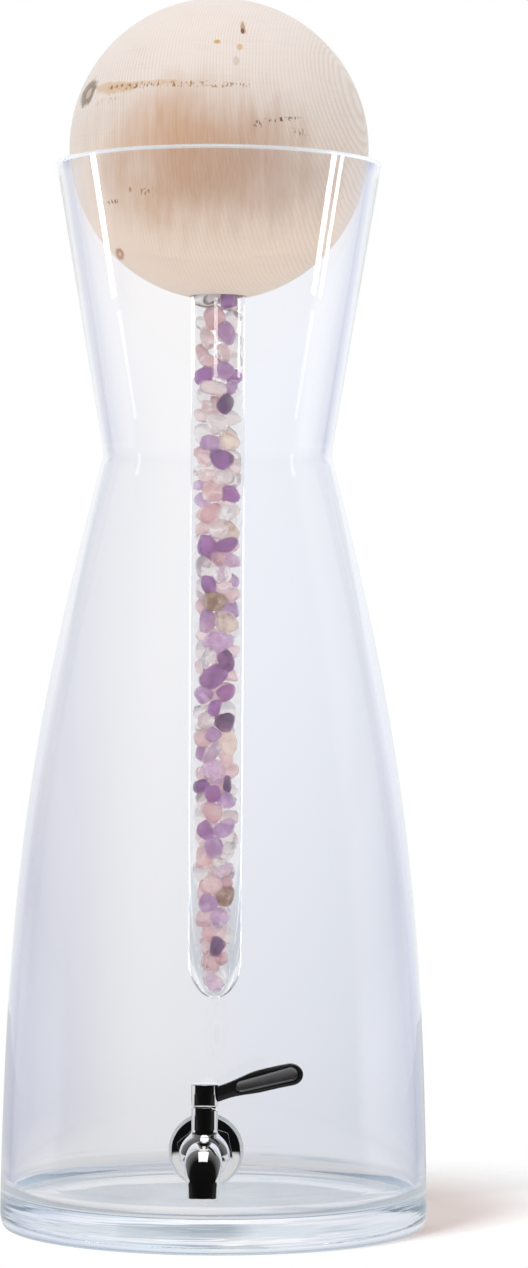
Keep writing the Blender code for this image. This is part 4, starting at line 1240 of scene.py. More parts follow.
@dataclass
class Tap:
    """Chrome tap: clamped shank, round valve housing, upright barrel, bent spout, hub and black lever."""

    carafe: Carafe
    height: float = 47.0 * MM
    seat_gap: float = 0.3 * MM
    shank_radius: float = 7.75 * MM
    shank_tail: float = 2.0 * MM
    shank_lead: float = 0.8 * MM
    thread_pitch: float = 1.25 * MM
    thread_depth: float = 0.35 * MM
    inlet_radius: float = 4.2 * MM
    outer_seal_radius: float = 16.6 * MM
    outer_seal: float = 2.0 * MM
    seal_edge: float = 0.5 * MM
    rosette_radius: float = 15.4 * MM
    rosette: float = 2.5 * MM
    rosette_edge: float = 1.1 * MM
    rosette_face: float = 9.4 * MM
    nut_flats: float = 23.0 * MM
    nut: float = 5.0 * MM
    nut_turn: float = math.radians(41.0)
    nut_drop: float = math.radians(30.0)
    nut_edge: float = 0.35 * MM
    nut_face: float = 0.48
    nut_inset: Pair = (0.25 * MM, 0.07 * MM)
    nut_sink: Pair = (0.1 * MM, 0.3 * MM)
    inner_seal_radius: float = 13.0 * MM
    inner_seal: float = 3.0 * MM
    washer_radius: float = 12.6 * MM
    washer: float = 1.4 * MM
    washer_edge: float = 0.25 * MM
    lock_flats: float = 22.0 * MM
    lock: float = 6.5 * MM
    lock_turn: float = math.radians(4.0)
    collar_radius: float = 9.6 * MM
    collar: float = 1.6 * MM
    valve_offset: float = 9.6 * MM
    housing_radius: float = 11.3 * MM
    barrel_radius: float = 5.8 * MM
    barrel_rise: float = 21.6 * MM
    barrel_foot: float = 7.0 * MM
    barrel_ease: float = 2.8 * MM
    spout_trim: float = 0.08 * MM
    spout_straight: float = 4.5 * MM
    spout_bend: float = 12.0 * MM
    spout_lean: float = math.radians(8.0)
    root_radius: float = 7.6 * MM
    elbow_radius: float = 8.5 * MM
    spout_radius: float = 6.95 * MM
    spout_drop: float = 16.8 * MM
    spout_wall: float = 1.6 * MM
    spout_edge: float = 0.9 * MM
    spout_fullness: float = 2.4
    notch_depth: float = 1.4 * MM
    notch_span: float = math.radians(116.0)
    valve_bore: float = 4.7 * MM
    valve_pocket: float = 7.6 * MM
    stem_radius: float = 2.4 * MM
    stem_reach: float = 6.6 * MM
    hub_radius: float = 6.0 * MM
    hub_height: float = 9.8 * MM
    hub_edges: Pair = (0.9 * MM, 0.4 * MM)
    lug_span: float = math.radians(22.0)
    lug_turn: float = math.radians(45.0)
    lever_rise: float = math.radians(14.5)
    arm_radius: float = 1.3 * MM
    arm_start: float = 3.3 * MM
    arm_end: float = 24.0 * MM
    screw_radius: float = 1.2 * MM
    screw_rise: float = 0.42
    grip_length: float = 44.3 * MM
    grip_neck_height: float = 6.6 * MM
    grip_height: float = 9.8 * MM
    grip_neck_depth: float = 5.6 * MM
    grip_depth: float = 7.0 * MM
    grip_neck_end: float = 9.5 * MM
    grip_shoulder: float = 26.0 * MM
    grip_tip: float = 5.6 * MM
    grip_bow: float = 1.0 * MM
    grip_start: float = 0.8
    grip_blunt: float = 0.35
    grip_powers: Pair = (2.857, 0.275)
    recess_middle: float = 28.2 * MM
    recess_length: float = 28.4 * MM
    recess_neck: float = 5.4 * MM
    recess_tip: float = 6.6 * MM
    recess_depth: float = 1.3 * MM
    recess_margin: float = 0.15 * MM
    recess_slope: float = 0.5 * MM
    inlay: float = 0.5 * MM
    rim_rise: float = 0.4 * MM

    def __post_init__(self) -> None:
        """Work out how far in front of the glass axis each piece lies, and make the shared metals."""
        gap = self.seat_gap
        self.wall = float(self.carafe.side(self.height))
        self.inner_wall = float(self.carafe.side(self.height, True))
        self.seal_front = self.wall + gap + self.outer_seal
        self.rosette_back = self.seal_front + gap
        self.nut_back = self.rosette_back + self.rosette + gap
        self.body_back = self.nut_back + self.nut + gap
        self.valve = self.body_back + self.valve_offset
        self.inner_seal_back = self.inner_wall - gap - self.inner_seal
        self.washer_back = self.inner_seal_back - gap - self.washer
        self.lock_back = self.washer_back - gap - self.lock
        self.tail = self.lock_back - self.shank_tail
        self.hole = self.shank_radius + gap
        self.ahead = tap_place(self.height)
        self.upright = upright_place(self.valve, self.height)
        self.hub_base = self.barrel_rise + gap
        self.chrome = CHROME.make()
        self.steel = STEEL.make()

    def saddle(self, name: str, outer: float, flat: float, inner: bool) -> Piece:
        """Build a soft ring round the shank: one face flat, the other on the glass, with an eased rim.

        Args:
            name: Name of the piece.
            outer: Outside radius.
            flat: Distance of the flat face in front of the glass axis.
            inner: True for the ring inside the glass.

        Returns:
            The ring.
        """
        turn = full_turn(96)
        ease = self.seal_edge
        arc = quarter_turn(6)[1:]
        reach = np.linspace(self.hole, outer - ease, 5)
        front = np.concatenate([reach, outer - ease + ease * np.sin(arc)])
        lift = np.concatenate([np.zeros_like(reach), ease * (1.0 - np.cos(arc))])
        radius = np.concatenate([front, front[::-1]])[:, None]
        right, up = radius * np.cos(turn), radius * np.sin(turn)
        side = -1.0 if inner else 1.0
        glass = np.sqrt(self.carafe.side(self.height + up, inner) ** 2 - right**2) + side * self.seat_gap
        rows = np.repeat([0.0, 1.0], len(front))[:, None]
        eased = np.concatenate([lift, lift[::-1]])[:, None] * side
        forward = (flat - eased) * (1.0 - rows) + (glass + eased) * rows
        return Shell().add(self.ahead(np.stack([right, up, forward], axis=-1))).piece(name, 50.0)

    def hex_ring(self, name: str, flats: float, low: float, high: float, start: float) -> Piece:
        """Build a nut: a six-sided outline whose faces drop beyond the flats, with a round hole."""
        turn = start + full_turn(144)
        outline = hexagon(turn, flats, start)
        face, hole = np.full_like(turn, self.nut_face * flats), np.full_like(turn, self.hole)
        still = np.zeros_like(turn)
        ease = self.nut_edge
        drop = np.maximum(outline - face, 0.0) * math.tan(self.nut_drop)
        corner, soft = (outline - inset for inset in self.nut_inset)
        radius = np.stack([hole + ease, face, corner, soft, outline])
        sink = np.stack([still, still, drop, drop + self.nut_sink[0], drop + self.nut_sink[1]])
        radius = np.concatenate([hole[None], radius, radius[::-1], hole[None]])
        rims = low + still[None] + ease, high - ease + still[None]
        forward = np.concatenate([rims[0], low + sink, (high - sink)[::-1], rims[1]])
        return Shell().add(self.ahead(rings(radius, turn, forward))).piece(name, 25.0)

    def flat_ring(self, name: str, outer: float, low: float, high: float) -> Piece:
        """Build a flat washer with eased rims."""
        ease = self.washer_edge
        corners = ((self.hole, low, 0.0), (outer, low, ease), (outer, high, ease), (self.hole, high, 0.0))
        return turned(rounded(corners), 96, self.ahead).piece(name, 35.0)

    def disc(self, name: str) -> Piece:
        """Build the rosette: a thin rim that rises in a cone to a flat face."""
        back, front = self.rosette_back, self.rosette_back + self.rosette
        corners = (
            (self.hole, back, 0.0),
            (self.rosette_radius, back, 0.25 * MM),
            (self.rosette_radius, back + self.rosette_edge, 0.5 * MM),
            (self.rosette_face, front, 0.3 * MM),
            (self.hole, front, 0.0),
        )
        return turned(rounded(corners), 128, self.ahead).piece(name, 35.0)

    def build_fixings(self) -> None:
        """Build and dress the seals, the rosette, the nuts and the washer that clamp the tap."""
        soft = CLEAR_SILICONE.make()
        outer = self.saddle("outer_silicone_ring", self.outer_seal_radius, self.seal_front, False)
        dress(outer, soft, Slot.SILICONE, Body.CARAFE, "outer_seal")
        inner = self.saddle("inner_silicone_ring", self.inner_seal_radius, self.inner_seal_back, True)
        dress(inner, soft, Slot.SILICONE, Body.CARAFE, "inner_seal")
        dress(self.disc("wall_rosette"), self.chrome, Slot.CHROME, Body.CARAFE, "rosette")
        low = self.nut_back
        nut = self.hex_ring("front_nut", self.nut_flats, low, low + self.nut, self.nut_turn)
        dress(nut, self.chrome, Slot.CHROME, Body.CARAFE, "hex_nut")
        low = self.washer_back
        washer = self.flat_ring("back_washer", self.washer_radius, low, low + self.washer)
        dress(washer, self.steel, Slot.STEEL, Body.CARAFE, "flat_washer")
        low = self.lock_back
        lock = self.hex_ring("back_nut", self.lock_flats, low, low + self.lock, self.lock_turn)
        dress(lock, self.steel, Slot.STEEL, Body.CARAFE, "lock_nut")

    def spout_tube(
        self,
        widths: Sequence[float],
        steps: int,
        extra: float = 0.0,
        fullness: float = 2.0,
        edge: float = 0.0,
    ) -> Piece:
        """Tube on the path of the spout, which runs forward, turns down by an arc and leans to the outlet.

        Each section is |across| ** fullness + |outward| ** fullness = 1, a circle where fullness is 2. The
        sections turn with the path and level out along the last straight, so that the outlet is flat.

        Args:
            widths: Radii at the valve, at the elbow, at the end of the bend and at the outlet.
            steps: Number of points on each section.
            extra: Length added beyond the outlet.
            fullness: How far the section swells from a circle towards a square.
            edge: Radius of the rounded edge round the outlet.

        Returns:
            A closed piece.
        """
        bend, straight = self.spout_bend, self.spout_straight
        lean = QUARTER_TURN - self.spout_lean
        sweep = np.linspace(0.0, lean, 32)[1:]
        fall = self.spout_drop - bend * (1.0 - math.cos(lean))
        down = np.linspace(0.0, 1.0, 14)[1:]
        start = np.zeros(6)
        angle = np.concatenate([start, sweep, lean + self.spout_lean * down])
        end = straight + bend * math.sin(lean) + fall * down / math.tan(lean)
        forward = np.concatenate([np.linspace(0.0, straight, 6), straight + bend * np.sin(sweep), end])
        end = bend * (math.cos(lean) - 1.0) - (fall - edge) * down
        up = np.concatenate([start, bend * (np.cos(sweep) - 1.0), end])
        curve = lean * bend
        stations = [0.0, straight, straight + 0.5 * curve, straight + curve, straight + curve + fall]
        share = np.cumsum(np.hypot(np.diff(forward, prepend=0.0), np.diff(up, prepend=0.0)))
        width = np.interp(share, stations, [widths[0], *widths])
        for _ in range(6):
            width[1:-1] = 0.25 * width[:-2] + 0.5 * width[1:-1] + 0.25 * width[2:]
        if edge > 0.0:
            arc = quarter_turn(8)[1:]
            width = np.concatenate([width, width[-1] - edge * (1.0 - np.cos(arc))])
            up = np.concatenate([up, up[-1] - edge * np.sin(arc)])
        else:
            width = np.append(width, width[-1])
            up = np.append(up, up[-1] - extra)
        more = len(width) - len(angle)
        angle = np.concatenate([angle, np.full(more, QUARTER_TURN)])[:, None]
        forward = self.valve - self.spout_trim + np.concatenate([forward, np.full(more, forward[-1])])
        turn = full_turn(steps)
        across, outward = np.cos(turn), np.sin(turn)
        squared = (np.abs(across) ** fullness + np.abs(outward) ** fullness) ** (-1.0 / fullness)
        right = width[:, None] * across * squared
        out = width[:, None] * outward * squared
        grid = [right, up[:, None] + out * np.cos(angle), forward[:, None] + out * np.sin(angle)]
        ends = np.array([[0.0, up[k], forward[k]] for k in (0, -1)])
        return Shell().add(self.ahead(np.stack(grid, axis=-1)), self.ahead(ends)).piece("spout")

    def wedge(self, inner: float, outer: float, low: float, high: float, middle: float, span: float) -> Piece:
        """Build part of a ring about the valve axis between two heights and over an angle."""
        turn = np.linspace(middle - 0.5 * span, middle + 0.5 * span, 24)
        way = pairs(np.cos(turn), np.sin(turn))
        loop = np.concatenate([outer * way, inner * way[::-1]])
        grid = np.stack([np.concatenate([loop, np.full((len(loop), 1), z)], axis=1) for z in (low, high)])
        centre = 0.5 * (inner + outer) * np.array([math.cos(middle), math.sin(middle)])
        poles = np.array([[*centre, z] for z in (low, high)])
        return Shell().add(self.upright(grid), self.upright(poles)).piece("wedge")

    def shank(self, name: str) -> Piece:
        """Build the threaded shank: its radius falls and rises as a sine along a helix."""
        turn = full_turn(96)
        along = np.linspace(self.tail, self.body_back + 0.5 * MM, 150)
        wave = 0.5 + 0.5 * np.sin(FULL_TURN * along[:, None] / self.thread_pitch - turn)
        lead = np.clip((self.tail + self.shank_lead - along) / self.shank_lead, 0.0, 1.0)[:, None]
        radius = self.shank_radius - self.thread_depth * wave - 0.5 * MM * lead
        ends = np.array([[0.0, 0.0, along[k]] for k in (0, -1)])
        return Shell().add(self.ahead(rings(radius, turn, along[:, None])), self.ahead(ends)).piece(name)

    def housing(self) -> Piece:
        """Build the valve housing: a collar, then a circle arc, carried round the shank's axis."""
        reach = self.valve - self.body_back - self.collar
        swing = np.linspace(-math.asin(reach / self.housing_radius), QUARTER_TURN, 40)
        round_out = self.housing_radius * np.cos(swing)
        round_out[-1] = 0.0
        dome = pairs(round_out, self.valve + self.housing_radius * np.sin(swing))
        corners = (
            (0.0, self.body_back, 0.0),
            (self.collar_radius, self.body_back, 0.3 * MM),
            (self.collar_radius, self.body_back + self.collar, 0.0),
        )
        return turned(np.concatenate([rounded(corners), dome]), 128, self.ahead).piece("round")

    def barrel(self) -> Piece:
        """Build the upright barrel, which eases into a wider foot on the housing."""
        top, foot, slim, ease = self.barrel_rise, self.barrel_foot, self.barrel_radius, self.barrel_ease
        meet = math.sqrt(self.housing_radius**2 - foot**2)
        corners = (
            (0.0, 0.0, 0.0),
            (foot, 0.0, 0.0),
            (foot, meet + 0.05 * ease, 0.0),
            (slim + 0.1 * MM, meet + 0.4 * ease, ease),
            (slim, meet + ease, 0.3 * MM),
            (slim, top, 0.3 * MM),
            (0.0, top, 0.0),
        )
        return turned(rounded(corners, 12), 128, self.upright).piece("barrel")

    def build_body(self) -> None:
        """Build the one-piece tap: lathe forms and spout united, then its hollows cut."""
        top = self.barrel_rise
        slope = 0.35 * self.elbow_radius + 0.65 * self.spout_radius
        widths = (self.root_radius, self.elbow_radius, slope, self.spout_radius)
        spout = self.spout_tube(widths, 128, 0.0, self.spout_fullness, self.spout_edge)
        body = self.shank("tap_housing")
        for part in (self.housing(), self.barrel(), spout):
            combine(body, part, Join.UNITE)
        hollow = self.spout_radius - self.spout_wall
        inner, outer = 0.5 * self.valve_bore, self.barrel_radius + MM
        for hole in (
            round_bar(self.valve_bore, -self.valve_pocket, top + MM, self.upright),
            round_bar(self.inlet_radius, self.tail - MM, self.valve, self.ahead),
            self.spout_tube((self.inlet_radius, hollow, hollow, hollow), 64, 2.0 * MM),
            self.wedge(inner, outer, top - self.notch_depth, top + MM, 0.0, self.notch_span),
        ):
            combine(body, hole, Join.CUT)
        crisp(body, 32.0)
        dress(body, self.chrome, Slot.CHROME, Body.CARAFE, "tap_body")

    def on_lever(self, points: Array) -> Array:
        """Tilt local points and set them on the hub: X along the rising lever, Y towards the back."""
        lean, rise = math.cos(self.lever_rise), math.sin(self.lever_rise)
        middle = self.hub_base + 0.5 * self.hub_height
        right, back, up = points[..., 0], points[..., 1], points[..., 2]
        lifted = np.stack([right * lean - up * rise, back, right * rise + up * lean + middle], axis=-1)
        return self.upright(lifted)

    def along_lever(self, points: Array) -> Array:
        """Lay local Z along the lever."""
        return self.on_lever(points[..., [2, 1, 0]] * np.array([1.0, 1.0, -1.0]))

    def across_hub(self, points: Array) -> Array:
        """Lay local Z from the valve axis to the back, at the height of the set screw."""
        level = self.hub_base + self.screw_rise * self.hub_height
        return self.upright(points[..., [0, 2, 1]] * np.array([1.0, 1.0, -1.0]) + np.array([0.0, 0.0, level]))

    def build_hub(self) -> None:
        """Build the hub with its stop lug, stem socket, arm hole and tapped hole."""
        gap, low, high = self.seat_gap, self.hub_base, self.hub_base + self.hub_height
        corners = (
            (0.0, low, 0.0),
            (self.hub_radius, low, self.hub_edges[0]),
            (self.hub_radius, high, self.hub_edges[1]),
            (0.0, high, 0.0),
        )
        hub = turned(rounded(corners, 12), 128, self.upright).piece("tap_hub")
        lug_low = self.barrel_rise - self.notch_depth + gap
        inner, outer = self.valve_bore + gap, self.barrel_radius
        combine(hub, self.wedge(inner, outer, lug_low, low + MM, self.lug_turn, self.lug_span), Join.UNITE)
        reach, start = self.hub_radius + 4.0 * MM, self.arm_start - gap
        for hole in (
            round_bar(self.stem_radius + gap, low - MM, low + self.stem_reach + gap, self.upright),
            round_bar(self.arm_radius + gap, start, reach, self.along_lever),
            round_bar(self.screw_radius + gap, 0.5 * self.stem_radius, self.hub_radius + MM, self.across_hub),
        ):
            combine(hub, hole, Join.CUT)
        crisp(hub, 32.0)
        dress(hub, self.chrome, Slot.CHROME, Body.LEVER, "lever_hub")

    def recess_edge(self, along: Array, up: Array) -> Array:
        """Distance inside the recess outline: a tapered bar with round ends, negative outside it."""
        half = 0.5 * self.recess_length
        first, last = 0.5 * self.recess_neck, 0.5 * self.recess_tip
        place = np.clip(along - self.recess_middle, -half + first, half - last)
        share = (place + half - first) / (2.0 * half - first - last)
        return first + (last - first) * share - np.hypot(along - self.recess_middle - place, up)

    def build_grip(self) -> None:
        """Build the black handle: rounded sections along the lever, with a long recess in its front.

        Each section is |depth| ** 3.64 + |height| ** 2.86 = 1, scaled by its half depth and height.
        """
        start = self.grip_start * self.hub_radius
        body = np.linspace(start, self.grip_length - self.grip_tip, 96)
        tip = quarter_turn(22)[1:-1]
        along = np.concatenate([body, self.grip_length - self.grip_tip * (1.0 - np.sin(tip))])
        places = [start, self.grip_neck_end, self.grip_shoulder, self.grip_length]
        ease = smooth(np.interp(along, places, [0.0, 0.0, 1.0, 1.0]))
        close = np.concatenate([np.ones(len(body)), np.cos(tip)])
        tall = 0.5 * (self.grip_neck_height + (self.grip_height - self.grip_neck_height) * ease) * close
        deep = 0.5 * (self.grip_neck_depth + (self.grip_depth - self.grip_neck_depth) * ease)
        deep = deep * (self.grip_blunt + (1.0 - self.grip_blunt) * close)
        bow = self.grip_bow * ((along - self.grip_shoulder) / (self.grip_shoulder - self.hub_radius)) ** 2
        sweep = np.sin(np.linspace(-QUARTER_TURN, QUARTER_TURN, 72)) * 0.9999
        round_off = (1.0 - np.abs(sweep) ** self.grip_powers[0]) ** self.grip_powers[1]
        up = tall[:, None] * np.concatenate([sweep, sweep[::-1]])
        depth = np.concatenate([-round_off, round_off[::-1]])
        length = np.broadcast_to(along[:, None], up.shape)
        inside = self.recess_edge(length, up) + self.recess_margin
        press = np.clip(inside / self.recess_slope, 0.0, 1.0)
        press = smooth(press) * (depth < 0.0)
        floor = -0.5 * self.grip_depth + self.recess_depth
        back = deep[:, None] * depth * (1.0 - press) + floor * press
        grid = np.stack([length, back, up - bow[:, None]], axis=-1)
        ends = np.array([[along[0], 0.0, -bow[0]], [self.grip_length, 0.0, -bow[-1]]])
        grip = Shell().add(self.on_lever(grid), self.on_lever(ends)).piece("lever_handle", 50.0)
        gap, low, high = self.seat_gap, self.hub_base - self.hub_height, self.hub_base + 2.0 * self.hub_height
        combine(grip, round_bar(self.hub_radius + gap, low, high, self.upright, 96), Join.CUT)
        bore = round_bar(self.arm_radius + gap, 0.5 * self.hub_radius, self.arm_end + gap, self.along_lever)
        combine(grip, bore, Join.CUT)
        crisp(grip, 50.0)
        dress(grip, GLOSS_BLACK.make(), Slot.BLACK_PLASTIC, Body.LEVER, "lever_grip")

    def build_inlay(self) -> None:
        """Build the grey strip in the recess: a shallow tray on the recess outline with a turned-up rim."""
        trim, rim = self.seat_gap, self.rim_rise
        half = 0.5 * self.recess_length - trim
        first, last = 0.5 * self.recess_neck - trim, 0.5 * self.recess_tip - trim
        arc = np.linspace(-QUARTER_TURN, QUARTER_TURN, 24)
        ends = np.repeat([half - last, first - half], len(arc))
        size = np.repeat([last, first], len(arc))
        way = pairs(np.cos(arc), np.sin(arc))
        way = np.concatenate([way, -way])
        back = -0.5 * self.grip_depth + self.recess_depth - self.seat_gap
        front = back - self.inlay
        swing = np.linspace(0.0, 1.0, 9)
        shrink = np.concatenate([[0.0, 0.0, 0.06, 0.16], 0.16 + 0.66 * swing]) * MM
        dish = rim * 0.5 * (1.0 + np.cos(math.pi * swing))
        depth = np.concatenate([[back, front - rim + 0.1 * MM, front - rim, front - rim], front - dish])
        reach = size[None, :] - shrink[:, None]
        along = ends[None, :] + reach * way[None, :, 0] + self.recess_middle
        deep = np.broadcast_to(depth[:, None], reach.shape)
        grid = np.stack([along, deep, reach * way[None, :, 1]], axis=-1)
        poles = np.array([[self.recess_middle, y, 0.0] for y in (back, front)])
        strip = Shell().add(self.on_lever(grid), self.on_lever(poles)).piece("handle_strip", 60.0)
        dress(strip, SATIN_GREY.make(), Slot.GREY_PLASTIC, Body.LEVER, "grip_inlay")

    def build(self) -> None:
        """Build the fixings, the body, the hub and the lever, and finish the pieces inside the valve."""
        self.build_fixings()
        self.build_body()
        self.build_hub()
        self.build_grip()
        self.build_inlay()
        repaint(BRASS.make(), "valve_plug", "gland_ring")
        repaint(BLACK_RUBBER.make(), "plug_ring_lower", "plug_ring_upper")
        repaint(self.steel, "lever_arm")
        repaint(DARK_STEEL.make(), "hub_screw")


@dataclass(frozen=True)
class Strip:
    """Narrow lamp that shows as a streak on one set of pieces: its place, aim, size and brightness."""

    name: str
    lit: Lit
    spot: Colour
    aim: Colour
    size: Pair
    bright: float


def both_sides(name: str, lit: Lit, spot: Colour, aim: Colour, size: Pair, bright: float) -> list[Strip]:
    """A strip on the left and its mirror image on the right."""
    right = name.replace("left", "right")
    far_spot, far_aim = ((-place[0], *place[1:]) for place in (spot, aim))
    return [Strip(name, lit, spot, aim, size, bright), Strip(right, lit, far_spot, far_aim, size, bright)]


LIP, WAIST, HANG = 0.46, 0.393, 0.417
STRIPS = (
    Strip("left_strip", Lit.GLASS, (-0.1275, -0.0405, LIP), (-0.058, -0.049, LIP), (0.0105, 0.082), 15.0),
    Strip("right_strip", Lit.GLASS, (0.1235, -0.0514, LIP), (0.0535, -0.053, LIP), (0.0088, 0.082), 15.0),
    Strip("far_right_strip", Lit.GLASS, (0.1265, -0.0371, LIP), (0.0575, -0.049, LIP), (0.006, 0.082), 15.0),
    *both_sides(
        "left_low_strip", Lit.GLASS, (-0.0778, -0.0463, WAIST), (-0.038, -0.042, WAIST), (0.0045, 0.052), 1.8
    ),
    Strip("vial_left", Lit.VIAL, (-0.0348, 0.0132, HANG), (-0.0112, -0.0054, HANG), (0.013, 0.037), 6.0),
    Strip("vial_front", Lit.VIAL, (-0.0048, -0.0422, HANG), (-0.0008, -0.0125, HANG), (0.0096, 0.037), 9.0),
    Strip("vial_right", Lit.VIAL, (0.039, -0.0012, HANG), (0.0098, -0.0078, HANG), (0.0096, 0.037), 8.0),
    *both_sides(
        "vial_edge_left", Lit.VIAL, (-0.034, 0.04, 0.27), (-0.0122, -0.0025, 0.27), (0.006, 0.33), 5.0
    ),
    *both_sides("stones_left", Lit.STONES, (-0.028, -0.034, 0.26), (0.0, 0.0, 0.26), (0.005, 0.34), 4.0),
)


@dataclass
class Studio:
    """White table with soft light, and the camera."""

    distance: float = 1.92
    eye: float = 0.275
    azimuth: float = math.radians(2.0)
    aim_right: float = 22.2 * MM
    aim_up: float = 1.45 * MM
    lens: float = 116.4
    sensor: float = 36.0
    roll: float = math.radians(0.3)
    table_sides: float = 0.7
    table_front: float = -0.43
    table_back: float = 1.2
    table_drop: float = 0.3 * MM
    table_white: Colour = (0.39, 0.39, 0.39)
    table_glow: float = 0.7
    table_gloom: float = 0.02
    gloom_front: Pair = (-0.02, -0.08)
    gloom_aside: Pair = (0.13, 0.2)
    table_bounce: float = 1.36
    fade_middle: Colour = (0.07, 0.08, 0.0)
    fade_reach: Pair = (0.1, 0.175)
    ambient_left: float = 0.98
    ambient_right: float = 0.8
    room_lift: float = 0.45
    room_horizon: Pair = (-0.04, 0.02)
    upper_room: Stops = ((-1.0, 0.004), (-0.05, 0.006), (0.3, 0.1), (0.72, 0.2), (0.86, 1.0))
    lower_room: Stops = ((-1.0, 0.004), (-0.08, 0.01), (0.05, 0.8), (0.5, 0.7), (0.86, 1.0))
    inner_front: Colour = (0.52, 0.56, 0.62)
    inner_back: Colour = (1.05, 1.06, 1.08)
    inner_sides: Pair = (-0.6, 0.6)
    light_left: float = 0.06
    edges_high: Stops = (
        *((0.0, 1.03), (0.05, 1.03), (0.09, 0.98), (0.2, 0.95)),
        *((0.35, 0.9), (0.5, 0.84), (0.75, 0.84), (0.92, 0.97)),
    )
    edges_low: Stops = (
        *((0.0, 1.0), (0.01, 0.99), (0.032, 0.91), (0.067, 0.77), (0.14, 0.69)),
        *((0.35, 0.6), (0.5, 0.54), (0.75, 0.64), (0.92, 0.92)),
    )
    edge_blue: Pair = (0.93, 0.54)
    edges_horizon: Pair = (-0.1, 0.08)
    foot_band: Pair = (-0.114, -0.128)
    foot_white: float = 0.85
    backdrop_left: Colour = (1.01, 1.0, 1.01)
    backdrop_right: Colour = (0.955, 0.975, 1.03)
    backdrop_sides: Pair = (-0.06, -0.015)
    backdrop_rise: Stops = ((-0.4, 0.70), (-0.15, 0.74), (-0.1, 0.89), (0.0, 0.985), (0.12, 1.015))
    behind_sides: Pair = (-0.3, 0.2)
    behind_tones: Pair = (0.75, 1.0)
    behind_rise: Pair = (0.1, 0.35)
    behind_high: float = 0.95
    led_middle: Colour = (0.50, 0.545, 0.60)
    led_side: Colour = (0.74, 0.785, 0.84)
    led_front: Colour = (0.50, 0.55, 0.61)
    led_aside: Pair = (0.02, 0.1)
    led_ahead: Pair = (0.15, -0.05)
    led_start: Pair = (0.118, 0.13)
    led_end: Pair = (0.16, 0.2)
    vial_tone: Colour = (0.96, 0.955, 0.965)
    vial_depth: float = 5.5
    vial_rise: Pair = (-0.125, -0.11)

    def build_camera(self) -> None:
        """Put the camera where the photograph was taken from."""
        data = bpy.data.cameras.new("camera")
        data.sensor_fit = "VERTICAL"
        data.sensor_height = self.sensor
        data.lens = self.lens
        data.clip_end = 50.0
        camera = new_object("camera", data)
        spot = Vector((math.sin(self.azimuth), -math.cos(self.azimuth), 0.0)) * self.distance
        camera.location = spot + Vector((0.0, 0.0, self.eye))
        right = Vector((math.cos(self.azimuth), math.sin(self.azimuth), 0.0))
        aim = right * self.aim_right + Vector((0.0, 0.0, self.eye + self.aim_up))
        look = (aim - camera.location).to_track_quat("-Z", "Y").to_matrix()
        camera.rotation_euler = (look @ Matrix.Rotation(self.roll, 3, "Z")).to_euler()
        bpy.context.scene.camera = camera

    def table_finish(self) -> Material:
        """White matt table that fades into the backdrop far from the glass, and glows in mirrors."""
        recipe = Recipe("white_table")
        path = recipe.node("LightPath").outputs
        x, y, _ = recipe.axes(recipe.space)
        grain = recipe.noise(recipe.space, 30.0, 2.0)
        pale = tuple(1.03 * part for part in self.table_white)
        matt = recipe.node("BsdfDiffuse", {"Color": recipe.mix(grain, self.table_white, pale)}).outputs[0]
        aside = recipe.span(recipe.calc("ABSOLUTE", x), *self.gloom_aside)
        gloom = recipe.times(recipe.span(y, *self.gloom_front), aside)
        glow = recipe.mix(gloom, (self.table_glow,) * 3, (self.table_gloom,) * 3)
        tone = recipe.mix(path["Is Diffuse Ray"], glow, (self.table_bounce,) * 3)
        plain = recipe.node("Emission", {"Color": tone}).outputs[0]
        reach = recipe.vector("DISTANCE", recipe.space, self.fade_middle)
        fade = recipe.times(path["Is Camera Ray"], recipe.span(reach, *self.fade_reach))
        fade = recipe.most(fade, path["Is Transmission Ray"])
        clear = recipe.node("BsdfTransparent").outputs[0]
        recipe.show(recipe.blend(fade, recipe.blend(path["Is Camera Ray"], plain, matt), clear))
        return recipe.material

    def build_table(self) -> None:
        """Lay a white table under the glass."""
        mesh = bpy.data.meshes.new("table")
        left, right = -self.table_sides, self.table_sides
        front, back = self.table_front, self.table_back
        corners = [(left, front), (right, front), (right, back), (left, back)]
        mesh.from_pydata([(x, y, -self.table_drop) for x, y in corners], [], [(0, 1, 2, 3)])
        table = new_object("table", mesh)
        mesh.materials.append(self.table_finish())
        self.light(Lit.TABLE, table)

    def room(self, kit: NodeKit, way: Socket, path: Outputs) -> Socket:
        """What shiny surfaces mirror: a white backdrop and a dark room, or inside the glass its wall."""
        _, y, z = kit.axes(way)
        facing = kit.span(kit.plus(y, kit.times(kit.most(z, 0.0), self.room_lift)), -1.0, 1.0)
        upper, lower = (
            kit.ramp(facing, [(0.5 + 0.5 * spot, tone) for spot, tone in stops])
            for stops in (self.upper_room, self.lower_room)
        )
        outer = kit.mix(kit.span(z, *self.room_horizon), lower, upper)
        inner = kit.mix(kit.span(y, *self.inner_sides), self.inner_front, self.inner_back)
        return kit.mix(kit.above(path["Transmission Depth"], 0.5), outer, inner)

